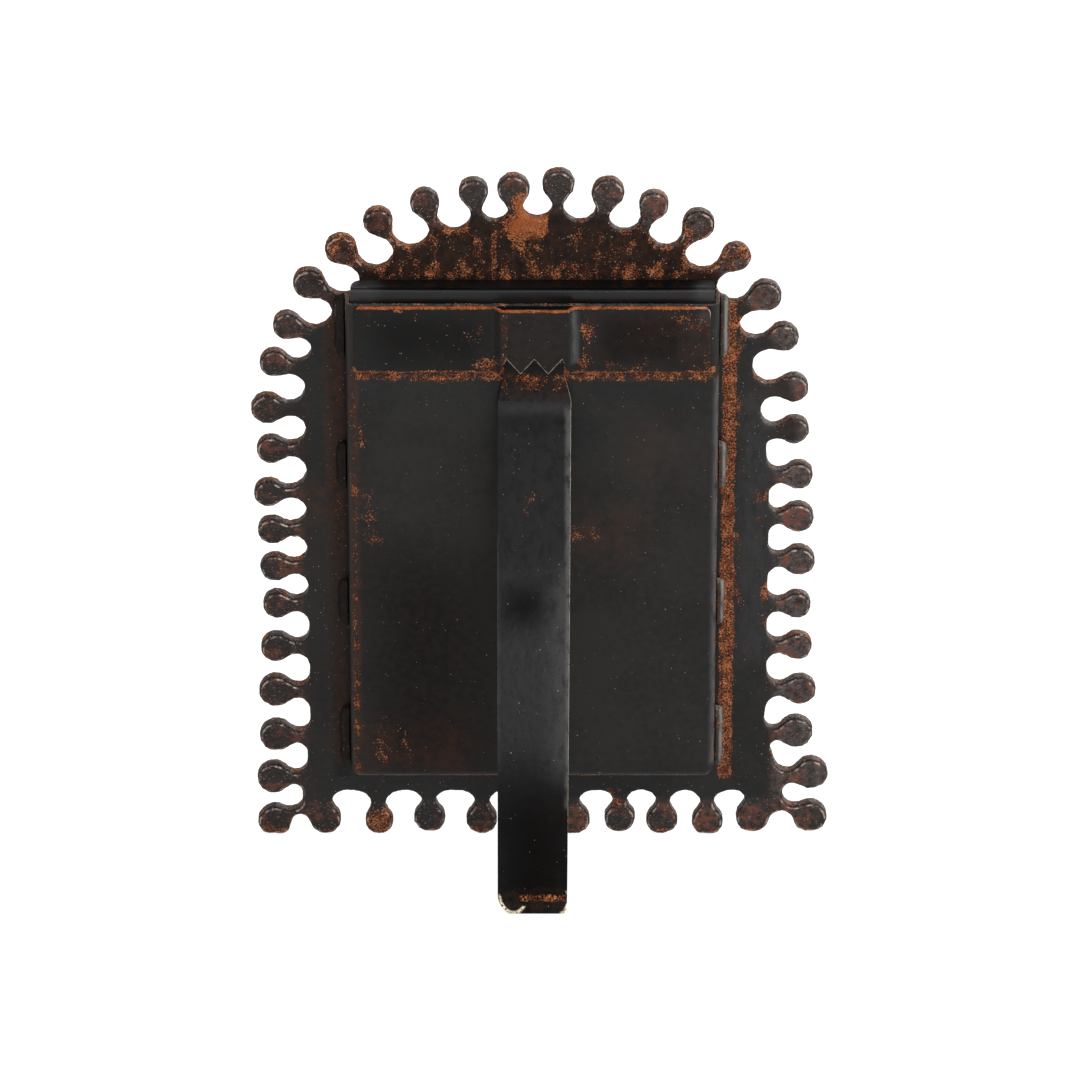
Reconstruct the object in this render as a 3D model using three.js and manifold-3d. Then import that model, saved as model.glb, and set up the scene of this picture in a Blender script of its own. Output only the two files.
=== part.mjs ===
// Cast iron picture frame with an arched top, a slide-in tray and a removable easel leg.
// Millimetres, +Z up. The front faces -Y and the leg stands behind, towards +Y.
// Every piece is drawn on the upright plate: x across it, y behind its flat back face, z up along it.
// The whole is then leaned back on its bottom knobs and its leg. Left is -x, as seen from the front.

import * as THREE from 'three';
import { mergeVertices } from 'three/addons/utils/BufferGeometryUtils.js';
import Module from 'manifold-3d';

// How the frame stands
const leanAngle = 15 * Math.PI / 180;
const legReach = 76;
const floorCut = 0.3;

// Clearances
const restGap = 0.3;
const slideGap = 0.3;
const overcut = 20;

// Picture stack
const glassWidth = 101.6;
const glassHeight = 152.4;
const glassThickness = 2;
const cardThickness = 0.4;
const boardThickness = 2.5;
const windowOverlap = 4.4;

// Tray and housing, bent from sheet
const traySheet = 0.8;
const trayRise = 3.7;
const trayLipDepth = 1;
const traySeamWidth = 1.3;
const traySeamDepth = 0.6;
const trayRightClip = 3.4;
const trayLeftClip = 1.2;
const trayClipStretch = 1.5;
const housingSheet = 1.2;
const housingBend = 2.6;
const housingCornerEase = 0.6;
const housingCover = 3.4;
const housingSeat = 9.5;
const housingOffset = 1.9;

// Cast plate
const plateThickness = 3.6;
const sideBorder = 21;
const archSpread = 6;
const archDrop = 48.6;
const knobLineHeight = 4.9;
const knobRadius = 4.7;
const knobUnevenness = 0.4;
const gapDepth = 10.5;
const archGapDepth = 10.8;
const sideGapDepth = 9;
const cornerSideGapDepth = 8.4;
const cornerBottomGapDepth = 2.2;
const neckWidth = 4;
const rightCornerSplay = 2;
const leftCornerSplay = 4;
const leftInset = 0.7;
const leftDentDepth = 4.8;
const leftDentReach = 45;
const leftDentRise = 29.5;

// Knob rows of the hand-made pattern, counter-clockwise as seen from the front.
// The steps set each row's spacing and are stretched to the row's length: s, m and l are small, middle and large.
// The reaches say how far each knob stands out from its row.
const bottomRow = {
  steps: [17, 13.5, 13.5, 12.5, 14, 13.5, 13.5, 15.5, 15, 16, 15],
  sizes: 'lmmmlmmmsm',
  reaches: [-1, 0.5, 0, -0.5, 0, 0, 0, -0.5, 0.5, 0],
};
const rightRow = {
  steps: [15, 14.5, 15.5, 15, 14.5, 12.5, 12.5, 12.5, 14.5, 13.5, 15],
  sizes: 'llllmsssssms',
  reaches: [0, 0, 1, 1, 0.5, 0, 0.5, 1, 2, 1, 2, -0.5],
};
const archRow = {
  steps: [10.5, 10, 9.5, 10, 10, 8, 9, 10, 9.5, 10, 11, 11.5, 10.5],
  sizes: 'smmsssmmmsmsms',
  reaches: [-1.5, 0.5, 1, 1.5, 0.5, -0.5, -1.5, 0, -0.5, 0, 0.5, 0, 0, -0.5],
};
const leftRow = {
  steps: [14, 15, 14, 14.5, 15, 14, 15, 14.5, 14.5, 15],
  sizes: 'sssmmssmlll',
  reaches: [1.5, -0.5, -0.5, -0.5, 0, -0.5, 0, 1, 0, 0, 0],
};
const rightRowStop = 6.3;
const leftRowStop = 14.4;
const rightCornerLift = -0.4;
const leftCornerLift = 1;
const archStart = 5 * Math.PI / 180;
const archEnd = 1.8 * Math.PI / 180;

// Relief on the plate's front
const knobDomeHeight = 2.4;
const knobDomeShare = 0.9;
const beadWidth = 5;
const beadHeight = 2.2;
const beadTopWidth = 0.3;
const beadFoot = 1.8;

// Hanger strap and its pocket
const strapThickness = 1;
const strapHeight = 20.9;
const strapTopInset = 0.2;
const strapCornerRadius = 2;
const pocketOffset = -0.6;
const pocketSideGap = 0.7;
const pocketSlope = 1.8;
const toothCount = 3;
const toothPitch = 7.9;
const toothHeight = 5.1;
const toothEnd = 2.4;

// Easel leg, bent from strip
const legThickness = 1.8;
const legWidth = 21;
const tongueWidth = 17;
const tongueTopGap = 1.5;
const shoulderLength = 8;
const legBendRadius = 22;
const legBendAngle = 36 * Math.PI / 180;
const legBendDrop = 2;
const toeHeight = 4;
const toeRadius = 10;
const toeAngle = 35 * Math.PI / 180;
const footRightRadius = 5.5;
const footLeftRadius = 2.4;
const footTaper = 0.5;
const footShift = 0.6;

// Weld beads
const weldCount = 4;
const weldRadius = 3;
const endWeldLength = 21;
const innerWeldLength = 16;

// How finely round shapes are divided
const curveSteps = 4;
const bevelSteps = 3;
const clipSteps = 6;
const knobArcSteps = 9;
const filletSteps = 4;
const domeSides = 10;
const domeRings = 6;
const weldSides = 12;
const weldEndSteps = 2;
const legBendSteps = 6;
const legBowSteps = 16;
const toeSteps = 5;
const shortestEdge = 0.05;
const mergeDistance = 1e-4;

// Depths behind the plate's back face
const cardFront = restGap + glassThickness + restGap;
const boardFront = cardFront + cardThickness + restGap;
const trayInside = boardFront + boardThickness + restGap;
const trayBack = trayInside + traySheet;
const housingInside = trayBack + slideGap;
const housingBack = housingInside + housingSheet;
const legFront = housingBack + restGap;
const legMiddle = legFront + legThickness / 2;
const strapFront = housingBack + restGap;
const pocketRise = legThickness + slideGap;

// Half widths
const trayInnerHalf = glassWidth / 2 + slideGap;
const trayHalf = trayInnerHalf + traySheet;
const housingInnerHalf = trayHalf + slideGap;
const housingHalf = housingInnerHalf + housingSheet;
const windowHalf = glassWidth / 2 - windowOverlap;
const knobLineHalf = windowHalf + sideBorder + sideGapDepth;
const strapHalf = housingHalf - housingBend;
const housingCornerRadius = housingBend + housingCornerEase;
const trayCornerRadius = housingCornerRadius - housingSheet;

// Heights along the plate
const housingBottom = knobLineHeight + gapDepth + housingSeat;
const trayBottom = housingBottom + housingSheet + restGap;
const glassBottom = trayBottom + traySheet + restGap;
const glassTop = glassBottom + glassHeight;
const housingTop = glassTop + housingCover;
const trayTop = housingTop + trayRise;
const traySeamBottom = trayTop - traySeamDepth;
const floorSize = 4 * (trayTop + legReach);
const strapTop = housingTop - strapTopInset;
const strapBottom = strapTop - strapHeight;
const windowBottom = glassBottom + windowOverlap;
const windowTop = glassTop - windowOverlap;
const archCentre = housingTop - archDrop;
const knobArchRadius = knobLineHalf + archSpread;
const archSpring = archCentre + Math.sqrt(knobArchRadius ** 2 - knobLineHalf ** 2);
const springAngle = Math.asin(knobLineHalf / knobArchRadius);

const wasm = await Module();
wasm.setup();

// Solids

function toSolid(geometry) {
  const bare = geometry.clone();
  bare.deleteAttribute('normal');
  bare.deleteAttribute('uv');
  const merged = mergeVertices(bare, mergeDistance);
  const index = merged.index.array;
  const faces = [];
  for (let i = 0; i < index.length; i += 3) {
    const [a, b, c] = [index[i], index[i + 1], index[i + 2]];
    if (a !== b && b !== c && c !== a) faces.push(a, b, c);
  }
  const mesh = new wasm.Mesh({
    numProp: 3,
    vertProperties: new Float32Array(merged.attributes.position.array),
    triVerts: new Uint32Array(faces),
  });
  return new wasm.Manifold(mesh);
}

function toGeometry(solid) {
  const mesh = solid.getMesh();
  const geometry = new THREE.BufferGeometry();
  geometry.setAttribute('position', new THREE.BufferAttribute(mesh.vertProperties, 3));
  geometry.setIndex(new THREE.BufferAttribute(mesh.triVerts, 1));
  geometry.computeVertexNormals();
  return geometry;
}

function boxSolid([x0, x1], [y0, y1], [z0, z1]) {
  const geometry = new THREE.BoxGeometry(x1 - x0, y1 - y0, z1 - z0);
  geometry.translate((x0 + x1) / 2, (y0 + y1) / 2, (z0 + z1) / 2);
  return toSolid(geometry);
}

// A shape drawn in x and z, standing from fromY to toY, with its end edges rounded by bend
function plateSolid(shape, fromY, toY, bend = 0) {
  const geometry = new THREE.ExtrudeGeometry(shape, {
    depth: toY - fromY - 2 * bend,
    bevelEnabled: bend > 0,
    bevelThickness: bend,
    bevelSize: bend,
    bevelOffset: -bend,
    bevelSegments: bevelSteps,
    curveSegments: curveSteps,
  });
  geometry.translate(0, 0, bend);
  geometry.rotateX(Math.PI / 2);
  geometry.translate(0, toY, 0);
  return toSolid(geometry);
}

// A shape drawn in y and z, running across from fromX to toX
function crossSolid(shape, fromX, toX) {
  const geometry = new THREE.ExtrudeGeometry(shape, {
    depth: toX - fromX,
    bevelEnabled: false,
    curveSegments: curveSteps,
  });
  const across = new THREE.Matrix4().makeBasis(
    new THREE.Vector3(0, 1, 0),
    new THREE.Vector3(0, 0, 1),
    new THREE.Vector3(1, 0, 0),
  );
  geometry.applyMatrix4(across);
  geometry.translate(fromX, 0, 0);
  return toSolid(geometry);
}

// A shape drawn in x and y, rising from fromZ to toZ
function upSolid(shape, fromZ, toZ) {
  const geometry = new THREE.ExtrudeGeometry(shape, {
    depth: toZ - fromZ,
    bevelEnabled: false,
    curveSegments: clipSteps,
  });
  geometry.translate(0, 0, fromZ);
  return toSolid(geometry);
}

// A rectangle with its two lower and two upper corners rounded by their own radii
function roundedRectangle([x0, x1], [y0, y1], lowerRadius, upperRadius) {
  const shape = new THREE.Shape();
  shape.moveTo(x0 + lowerRadius, y0);
  shape.lineTo(x1 - lowerRadius, y0);
  if (lowerRadius > 0) shape.absarc(x1 - lowerRadius, y0 + lowerRadius, lowerRadius, -Math.PI / 2, 0, false);
  shape.lineTo(x1, y1 - upperRadius);
  if (upperRadius > 0) shape.absarc(x1 - upperRadius, y1 - upperRadius, upperRadius, 0, Math.PI / 2, false);
  shape.lineTo(x0 + upperRadius, y1);
  if (upperRadius > 0) shape.absarc(x0 + upperRadius, y1 - upperRadius, upperRadius, Math.PI / 2, Math.PI, false);
  shape.lineTo(x0, y0 + lowerRadius);
  if (lowerRadius > 0) shape.absarc(x0 + lowerRadius, y0 + lowerRadius, lowerRadius, Math.PI, 1.5 * Math.PI, false);
  return shape;
}

// Everything under the surface that the frame stands on
function floorSolid() {
  const geometry = new THREE.BoxGeometry(floorSize, floorSize, floorSize);
  geometry.translate(0, 0, -floorSize / 2);
  geometry.rotateX(leanAngle);
  geometry.translate(0, 0, floorCut);
  return toSolid(geometry);
}

// A point above the floor, given by its distance behind the plate's foot, as y and z on the plate
function abovePoint(distance, height) {
  return new THREE.Vector2(
    distance * Math.cos(leanAngle) - height * Math.sin(leanAngle),
    floorCut + distance * Math.sin(leanAngle) + height * Math.cos(leanAngle),
  );
}

// Cast plate

// Places along a row, spaced in proportion to the steps, the first and the last included
function stations(from, to, steps) {
  const total = steps.reduce((sum, step) => sum + step, 0);
  let run = 0;
  const places = [from];
  for (const step of steps) {
    run += step;
    places.push(from + (to - from) * run / total);
  }
  return places;
}

function sizedRadius(size) {
  return knobRadius + { s: -1, m: 0, l: 1 }[size] * knobUnevenness;
}

// The left side of the pattern leans in where the side meets the arch
function leftDent(z) {
  const away = Math.min(1, Math.abs(z - archCentre - leftDentRise) / leftDentReach);
  return leftDentDepth * (1 + Math.cos(Math.PI * away)) / 2;
}

function knobs() {
  const rightCorner = knobLineHalf + rightCornerSplay;
  const leftCorner = -knobLineHalf - leftCornerSplay;
  const { sizes, reaches } = bottomRow;
  const bottom = stations(leftCorner, rightCorner, bottomRow.steps).slice(1, -1).map((x, i) => (
    { x, z: knobLineHeight - reaches[i], r: sizedRadius(sizes[i]), row: 'bottom', reach: reaches[i] }
  ));
  const rightStart = knobLineHeight + rightCornerLift;
  const right = stations(rightStart, archSpring - rightRowStop, rightRow.steps).map((z, i) => {
    const reach = rightRow.reaches[i];
    const x = reach + (i < 2 ? rightCorner : knobLineHalf);
    return { x, z, r: sizedRadius(rightRow.sizes[i]), row: 'side', reach, corner: i === 0 };
  });
  const arch = stations(springAngle - archStart, archEnd - springAngle, archRow.steps).map((angle, i) => {
    const reach = archRow.reaches[i];
    const z = archCentre + (knobArchRadius + reach) * Math.cos(angle);
    const x = (knobArchRadius + reach) * Math.sin(angle);
    return { x: x < 0 ? x + leftDent(z) : x, z, r: sizedRadius(archRow.sizes[i]), row: 'arch', reach };
  });
  const last = leftRow.steps.length;
  const left = stations(archSpring - leftRowStop, knobLineHeight + leftCornerLift, leftRow.steps).map((z, i) => {
    const reach = leftRow.reaches[i];
    const x = (i > last - 2 ? leftCorner : leftDent(z) + leftInset - knobLineHalf) - reach;
    return { x, z, r: sizedRadius(leftRow.sizes[i]), row: 'side', reach, corner: i === last };
  });
  return [...bottom, ...right, ...arch, ...left];
}

// The gap between a knob and the next: its directions, its depth, and whether it is one round notch
function gapBetween(knob, next) {
  const along = new THREE.Vector2(next.x - knob.x, next.z - knob.z);
  const halfPitch = along.length() / 2;
  along.normalize();
  const inward = new THREE.Vector2(-along.y, along.x);
  const corner = knob.corner || next.corner;
  const round = corner && (knob.row === 'bottom' || next.row === 'bottom');
  const cornerDepth = round ? cornerBottomGapDepth : cornerSideGapDepth;
  const rowDepth = { bottom: gapDepth, side: sideGapDepth, arch: archGapDepth };
  const plainDepth = (rowDepth[knob.row] + rowDepth[next.row]) / 2 + (knob.reach + next.reach) / 2;
  return { along, inward, halfPitch, round, depth: corner ? cornerDepth : plainDepth };
}

// The fillet that leads from a knob into the plate's edge. It touches the knob and the edge at the gap's depth,
// and leaves half a neck beside the knob's axis, or less where the gap is too narrow for that.
function fillet(knob, axis, gap, along) {
  const { inward, halfPitch, depth, round } = gap;
  const lean = axis.dot(along);
  const upright = axis.dot(inward);
  const start = (neckWidth / 2 + depth * lean) / upright;
  const slope = (1 - lean) / upright;
  const span = depth + knob.r - start * slope;
  const spare = span ** 2 - slope ** 2 * (start ** 2 + depth ** 2 - knob.r ** 2);
  const free = (span - Math.sqrt(Math.max(0, spare))) / slope ** 2;
  const aside = round ? halfPitch : Math.min(start + slope * free, halfPitch);
  const radius = (aside ** 2 + depth ** 2 - knob.r ** 2) / (2 * (knob.r + depth));
  const centre = new THREE.Vector2(knob.x, knob.z)
    .addScaledVector(along, aside)
    .addScaledVector(inward, depth - radius);
  return { centre, radius };
}

function arcPoints(centre, radius, from, turn, steps) {
  return Array.from({ length: steps + 1 }, (_, i) => {
    const angle = from + turn * i / steps;
    return new THREE.Vector2(centre.x + radius * Math.cos(angle), centre.y + radius * Math.sin(angle));
  });
}

// The turn from one direction to another, between 0 and a full turn
function turnBetween(from, to) {
  return ((to - from) % (2 * Math.PI) + 2 * Math.PI) % (2 * Math.PI);
}

function plateOutline() {
  const ring = knobs();
  const count = ring.length;
  const gaps = ring.map((knob, i) => gapBetween(knob, ring[(i + 1) % count]));
  const axes = ring.map((knob, i) => gaps[i].inward.clone().add(gaps[(i + count - 1) % count].inward).normalize());
  const points = [];
  ring.forEach((knob, i) => {
    const after = (i + 1) % count;
    const before = (i + count - 1) % count;
    const { along, inward } = gaps[i];
    const arrive = fillet(knob, axes[i], gaps[before], gaps[before].along.clone().negate());
    const leave = fillet(knob, axes[i], gaps[i], along);
    const meet = fillet(ring[after], axes[after], gaps[i], along.clone().negate());
    const centre = new THREE.Vector2(knob.x, knob.z);
    const start = arrive.centre.clone().sub(centre).angle();
    const end = leave.centre.clone().sub(centre).angle();
    const down = inward.angle();
    const up = new THREE.Vector2(ring[after].x, ring[after].z).sub(meet.centre).angle();
    const leaveTurn = turnBetween(down, end + Math.PI);
    points.push(
      ...arcPoints(centre, knob.r, start, turnBetween(start, end), knobArcSteps),
      ...arcPoints(leave.centre, leave.radius, end + Math.PI, -leaveTurn, filletSteps).slice(1),
      ...arcPoints(meet.centre, meet.radius, down, -turnBetween(up, down), filletSteps).slice(0, -1),
    );
  });
  const spaced = points.filter((point, i) => point.distanceTo(points[(i + 1) % points.length]) > shortestEdge);
  return new THREE.Shape(spaced);
}

// A knob's domed front, its other half inside the plate
function knobDome({ x, z, r }) {
  const geometry = new THREE.SphereGeometry(1, domeSides, domeRings);
  geometry.scale(r * knobDomeShare, knobDomeHeight, r * knobDomeShare);
  geometry.translate(x, -plateThickness, z);
  return toSolid(geometry);
}

// The window grown on every side by an offset
function windowShape(offset) {
  return roundedRectangle(
    [-windowHalf - offset, windowHalf + offset],
    [windowBottom - offset, windowTop + offset],
    offset,
    offset,
  );
}

// A rounded bead round the window's front, with its foot inside the plate
function windowBead() {
  const shoulder = (beadWidth - restGap - beadTopWidth) / 2;
  const ring = windowShape(beadWidth);
  ring.holes.push(windowShape(restGap));
  const geometry = new THREE.ExtrudeGeometry(ring, {
    depth: beadFoot,
    bevelEnabled: true,
    bevelThickness: beadHeight,
    bevelSize: shoulder,
    bevelOffset: -shoulder,
    bevelSegments: bevelSteps,
    curveSegments: curveSteps,
  });
  geometry.rotateX(Math.PI / 2);
  geometry.translate(0, beadFoot - plateThickness, 0);
  const rear = boxSolid([-knobLineHalf, knobLineHalf], [beadFoot / 2 - plateThickness, overcut], [0, housingTop]);
  return toSolid(geometry).subtract(rear);
}

function frameCasting() {
  let solid = plateSolid(plateOutline(), -plateThickness, 0)
    .add(windowBead())
    .subtract(plateSolid(windowShape(0), -overcut, overcut));
  for (const knob of knobs()) solid = solid.add(knobDome(knob));
  return solid.subtract(floorSolid());
}

// Picture stack, tray and housing

function paneSolid(front, thickness) {
  const halfWidth = glassWidth / 2;
  return boxSolid(
    [housingOffset - halfWidth, housingOffset + halfWidth],
    [front, front + thickness],
    [glassBottom, glassTop],
  );
}

// What is cut from the front corner of the tray's top to round it in plan
function cornerClip(side, radius) {
  const outer = housingOffset + side * trayHalf;
  const inner = outer - side * radius;
  const back = restGap + trayClipStretch * radius;
  const shape = new THREE.Shape();
  shape.moveTo(inner, -overcut);
  shape.lineTo(inner, restGap);
  shape.quadraticCurveTo(outer, restGap, outer, back);
  shape.lineTo(outer + side * overcut, back);
  shape.lineTo(outer + side * overcut, -overcut);
  return upSolid(shape, housingTop, housingTop + overcut);
}

// The tray's top wall ends in a seam, behind which the back sheet stands up as a lip
function slideTray() {
  const shell = plateSolid(
    roundedRectangle(
      [housingOffset - trayHalf, housingOffset + trayHalf],
      [trayBottom, trayTop],
      trayCornerRadius,
      0,
    ),
    restGap,
    trayBack,
  );
  const inside = boxSolid(
    [housingOffset - trayInnerHalf, housingOffset + trayInnerHalf],
    [-overcut, trayInside],
    [trayBottom + traySheet, trayTop - traySheet],
  );
  const across = [housingOffset - trayHalf, housingOffset + trayHalf];
  const lipFront = trayBack - trayLipDepth;
  const seamFront = lipFront - traySeamWidth;
  const beyond = [housingOffset - trayHalf - overcut, housingOffset + trayHalf + overcut];
  const seamCut = boxSolid(beyond, [seamFront, trayBack + overcut], [traySeamBottom, trayTop + overcut]);
  const seamFloor = boxSolid(across, [seamFront - traySheet, trayBack], [traySeamBottom - traySheet, traySeamBottom]);
  const lip = crossSolid(
    roundedRectangle([lipFront, trayBack], [traySeamBottom - traySheet / 2, trayTop], 0, traySheet / 2),
    ...across,
  );
  return shell
    .subtract(inside)
    .subtract(seamCut)
    .add(seamFloor)
    .add(lip)
    .subtract(cornerClip(1, trayRightClip))
    .subtract(cornerClip(-1, trayLeftClip));
}

function backHousing() {
  const across = (half) => [housingOffset - half, housingOffset + half];
  const outer = plateSolid(
    roundedRectangle(across(housingHalf), [housingBottom, housingTop + overcut], housingCornerRadius, 0),
    -overcut,
    housingBack,
    housingBend,
  );
  const inner = plateSolid(
    roundedRectangle(
      across(housingInnerHalf),
      [housingBottom + housingSheet, housingTop + 2 * overcut],
      trayCornerRadius,
      0,
    ),
    -2 * overcut,
    housingInside,
  );
  const wide = across(housingHalf + overcut);
  const beyond = housingTop + 2 * overcut;
  return outer
    .subtract(inner)
    .subtract(boxSolid(wide, [-2 * overcut, restGap], [0, beyond]))
    .subtract(boxSolid(wide, [-overcut, 2 * overcut], [housingTop, beyond]));
}

// Hanger strap and leg

const pocketCentre = housingOffset + pocketOffset;

// The strap's section seen from above: flat ends and a raised middle that the leg's tongue slides behind
function strapSection() {
  const pocketHalf = tongueWidth / 2 + pocketSideGap;
  const skew = strapThickness / 2;
  const front = [
    [housingOffset - strapHalf, 0],
    [pocketCentre - pocketHalf - pocketSlope, 0],
    [pocketCentre - pocketHalf, pocketRise],
    [pocketCentre + pocketHalf, pocketRise],
    [pocketCentre + pocketHalf + pocketSlope, 0],
    [housingOffset + strapHalf, 0],
  ];
  const back = front.map(([x, y], i) => {
    const inner = i > 0 && i < front.length - 1;
    return [x + (inner ? Math.sign(x - pocketCentre) * skew : 0), y + strapThickness];
  });
  const ring = [...front, ...back.reverse()];
  return new THREE.Shape(ring.map(([x, y]) => new THREE.Vector2(x, strapFront + y)));
}

// The notches under the raised middle, which catch a nail
function toothNotches() {
  const first = pocketCentre - (toothCount - 1) / 2 * toothPitch;
  const last = first + (toothCount - 1) * toothPitch;
  const points = [new THREE.Vector2(first - toothEnd, strapBottom)];
  for (let i = 0; i < toothCount; i++) {
    const x = first + i * toothPitch;
    points.push(new THREE.Vector2(x, strapBottom + toothHeight));
    if (i < toothCount - 1) points.push(new THREE.Vector2(x + toothPitch / 2, strapBottom + restGap));
  }
  points.push(new THREE.Vector2(last + toothEnd, strapBottom));
  points.push(new THREE.Vector2(last + toothEnd, strapBottom - overcut));
  points.push(new THREE.Vector2(first - toothEnd, strapBottom - overcut));
  return plateSolid(new THREE.Shape(points.reverse()), 0, housingBack + overcut);
}

function hangerStrap() {
  const blank = plateSolid(
    roundedRectangle(
      [housingOffset - strapHalf, housingOffset + strapHalf],
      [strapBottom, strapTop],
      strapCornerRadius,
      strapCornerRadius,
    ),
    0,
    housingBack + overcut,
  );
  return upSolid(strapSection(), strapBottom, strapTop)
    .intersect(blank)
    .subtract(toothNotches());
}

// The leg's middle line in y and z, with its direction measured from straight down the plate
function legLine() {
  const line = [];
  const add = (y, z, angle) => line.push({ y, z, angle });
  add(legMiddle, strapTop - tongueTopGap, 0);
  const bendTop = strapBottom - legBendDrop;
  for (let i = 0; i <= legBendSteps; i++) {
    const angle = legBendAngle * i / legBendSteps;
    add(legMiddle + legBendRadius * (1 - Math.cos(angle)), bendTop - legBendRadius * Math.sin(angle), angle);
  }
  const bend = line[line.length - 1];
  const toe = abovePoint(legReach, toeHeight);
  const chord = new THREE.Vector2(toe.x - bend.y, bend.z - toe.y);
  const chordAngle = Math.atan2(chord.x, chord.y);
  const endAngle = 2 * chordAngle - legBendAngle;
  const bowRadius = chord.length() / (2 * Math.sin((legBendAngle - endAngle) / 2));
  for (let i = 1; i <= legBowSteps; i++) {
    const angle = legBendAngle + (endAngle - legBendAngle) * i / legBowSteps;
    add(
      bend.y + bowRadius * (Math.cos(angle) - Math.cos(legBendAngle)),
      bend.z - bowRadius * (Math.sin(legBendAngle) - Math.sin(angle)),
      angle,
    );
  }
  for (let i = 1; i <= toeSteps; i++) {
    const angle = endAngle + toeAngle * i / toeSteps;
    add(
      toe.x + toeRadius * (Math.cos(endAngle) - Math.cos(angle)),
      toe.y - toeRadius * (Math.sin(angle) - Math.sin(endAngle)),
      angle,
    );
  }
  return line;
}

function legProfile() {
  const offset = (side) => legLine().map(({ y, z, angle }) => new THREE.Vector2(
    y + side * legThickness / 2 * Math.cos(angle),
    z + side * legThickness / 2 * Math.sin(angle),
  ));
  return new THREE.Shape([...offset(-1), ...offset(1).reverse()]);
}

// The leg seen from behind: tongue, shoulders, a slight taper and a rounded foot
function legOutline() {
  const foot = abovePoint(legReach, 0).y;
  const tongueHalf = tongueWidth / 2;
  const half = legWidth / 2;
  const footHalf = half - footTaper;
  const footCentre = pocketCentre + footShift;
  const shoulder = strapBottom - restGap;
  const shape = new THREE.Shape();
  shape.moveTo(pocketCentre - tongueHalf, strapTop + overcut);
  shape.lineTo(pocketCentre - tongueHalf, shoulder);
  shape.lineTo(pocketCentre - half, shoulder - shoulderLength);
  shape.lineTo(footCentre - footHalf, foot + footLeftRadius);
  shape.absarc(footCentre - footHalf + footLeftRadius, foot + footLeftRadius, footLeftRadius, Math.PI, 1.5 * Math.PI);
  shape.lineTo(footCentre + footHalf - footRightRadius, foot);
  shape.absarc(footCentre + footHalf - footRightRadius, foot + footRightRadius, footRightRadius, -Math.PI / 2, 0);
  shape.lineTo(pocketCentre + half, shoulder - shoulderLength);
  shape.lineTo(pocketCentre + tongueHalf, shoulder);
  shape.lineTo(pocketCentre + tongueHalf, strapTop + overcut);
  return shape;
}

function easelLeg() {
  const strip = crossSolid(legProfile(), pocketCentre - legWidth, pocketCentre + legWidth);
  return strip
    .intersect(plateSolid(legOutline(), 0, 2 * legReach))
    .subtract(floorSolid());
}

// Weld beads in the corner between the housing's wall and the plate

function weldBead(side, index) {
  const atEnd = index === 0 || index === weldCount - 1;
  const length = atEnd ? endWeldLength : innerWeldLength;
  const first = housingBottom + endWeldLength / 2;
  const last = housingTop - endWeldLength / 2;
  const height = first + (last - first) * index / (weldCount - 1);
  const wall = housingOffset + side * (housingHalf + restGap);
  const geometry = new THREE.CapsuleGeometry(weldRadius, length - 2 * weldRadius, weldEndSteps, weldSides, 1);
  geometry.rotateX(Math.PI / 2);
  geometry.translate(wall, restGap, height);
  const corner = boxSolid(
    side > 0 ? [wall, wall + overcut] : [wall - overcut, wall],
    [restGap, overcut],
    [height - length, height + length],
  );
  return toSolid(geometry).intersect(corner);
}

// Materials

const finishes = {
  castIron: { color: 0x2a2725, roughness: 0.62, metalness: 0.55 },
  paintedSteel: { color: 0x2b2b2b, roughness: 0.5, metalness: 0.3 },
  blackTray: { color: 0x111213, roughness: 0.35, metalness: 0.2 },
  weld: { color: 0x5a3a2a, roughness: 0.6, metalness: 0.5 },
  glass: { color: 0xdfeaea, roughness: 0.03, metalness: 0, transparent: true, opacity: 0.25 },
  card: { color: 0xe9e2d0, roughness: 0.9, metalness: 0 },
  board: { color: 0x8a6b48, roughness: 0.95, metalness: 0 },
};

const leaning = new THREE.Group();

function addPiece(name, solid, finish) {
  const mesh = new THREE.Mesh(toGeometry(solid), new THREE.MeshStandardMaterial(finishes[finish]));
  mesh.name = name;
  leaning.add(mesh);
}

addPiece('frame_casting', frameCasting(), 'castIron');
addPiece('glass_pane', paneSolid(restGap, glassThickness), 'glass');
addPiece('insert_card', paneSolid(cardFront, cardThickness), 'card');
addPiece('backing_board', paneSolid(boardFront, boardThickness), 'board');
addPiece('slide_tray', slideTray(), 'blackTray');
addPiece('back_housing', backHousing(), 'paintedSteel');
addPiece('hanger_strap', hangerStrap(), 'paintedSteel');
addPiece('easel_leg', easelLeg(), 'paintedSteel');
for (const [label, side] of [['left', -1], ['right', 1]]) {
  for (let i = 0; i < weldCount; i++) addPiece(`weld_${label}_${i + 1}`, weldBead(side, i), 'weld');
}

leaning.rotation.x = -leanAngle;
leaning.updateMatrixWorld(true);
const reach = new THREE.Box3().setFromObject(leaning, true);
const middle = reach.getCenter(new THREE.Vector3());
leaning.position.set(-middle.x, -middle.y, -reach.min.z);

const frame = new THREE.Group();
frame.add(leaning);
frame.updateMatrixWorld(true);

export default frame;
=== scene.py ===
"""Cast iron picture frame: finishes, fine surfaces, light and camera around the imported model.

The plate's own axes, in millimetres, are used throughout: x across, y behind its flat back, z up along it.
The plate leans back in the world, so PLATE takes its axes to the world's metres.
"""

import math

import bmesh
import bpy
import numpy as np
from mathutils import Matrix, Vector, noise
from mathutils.kdtree import KDTree


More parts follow.
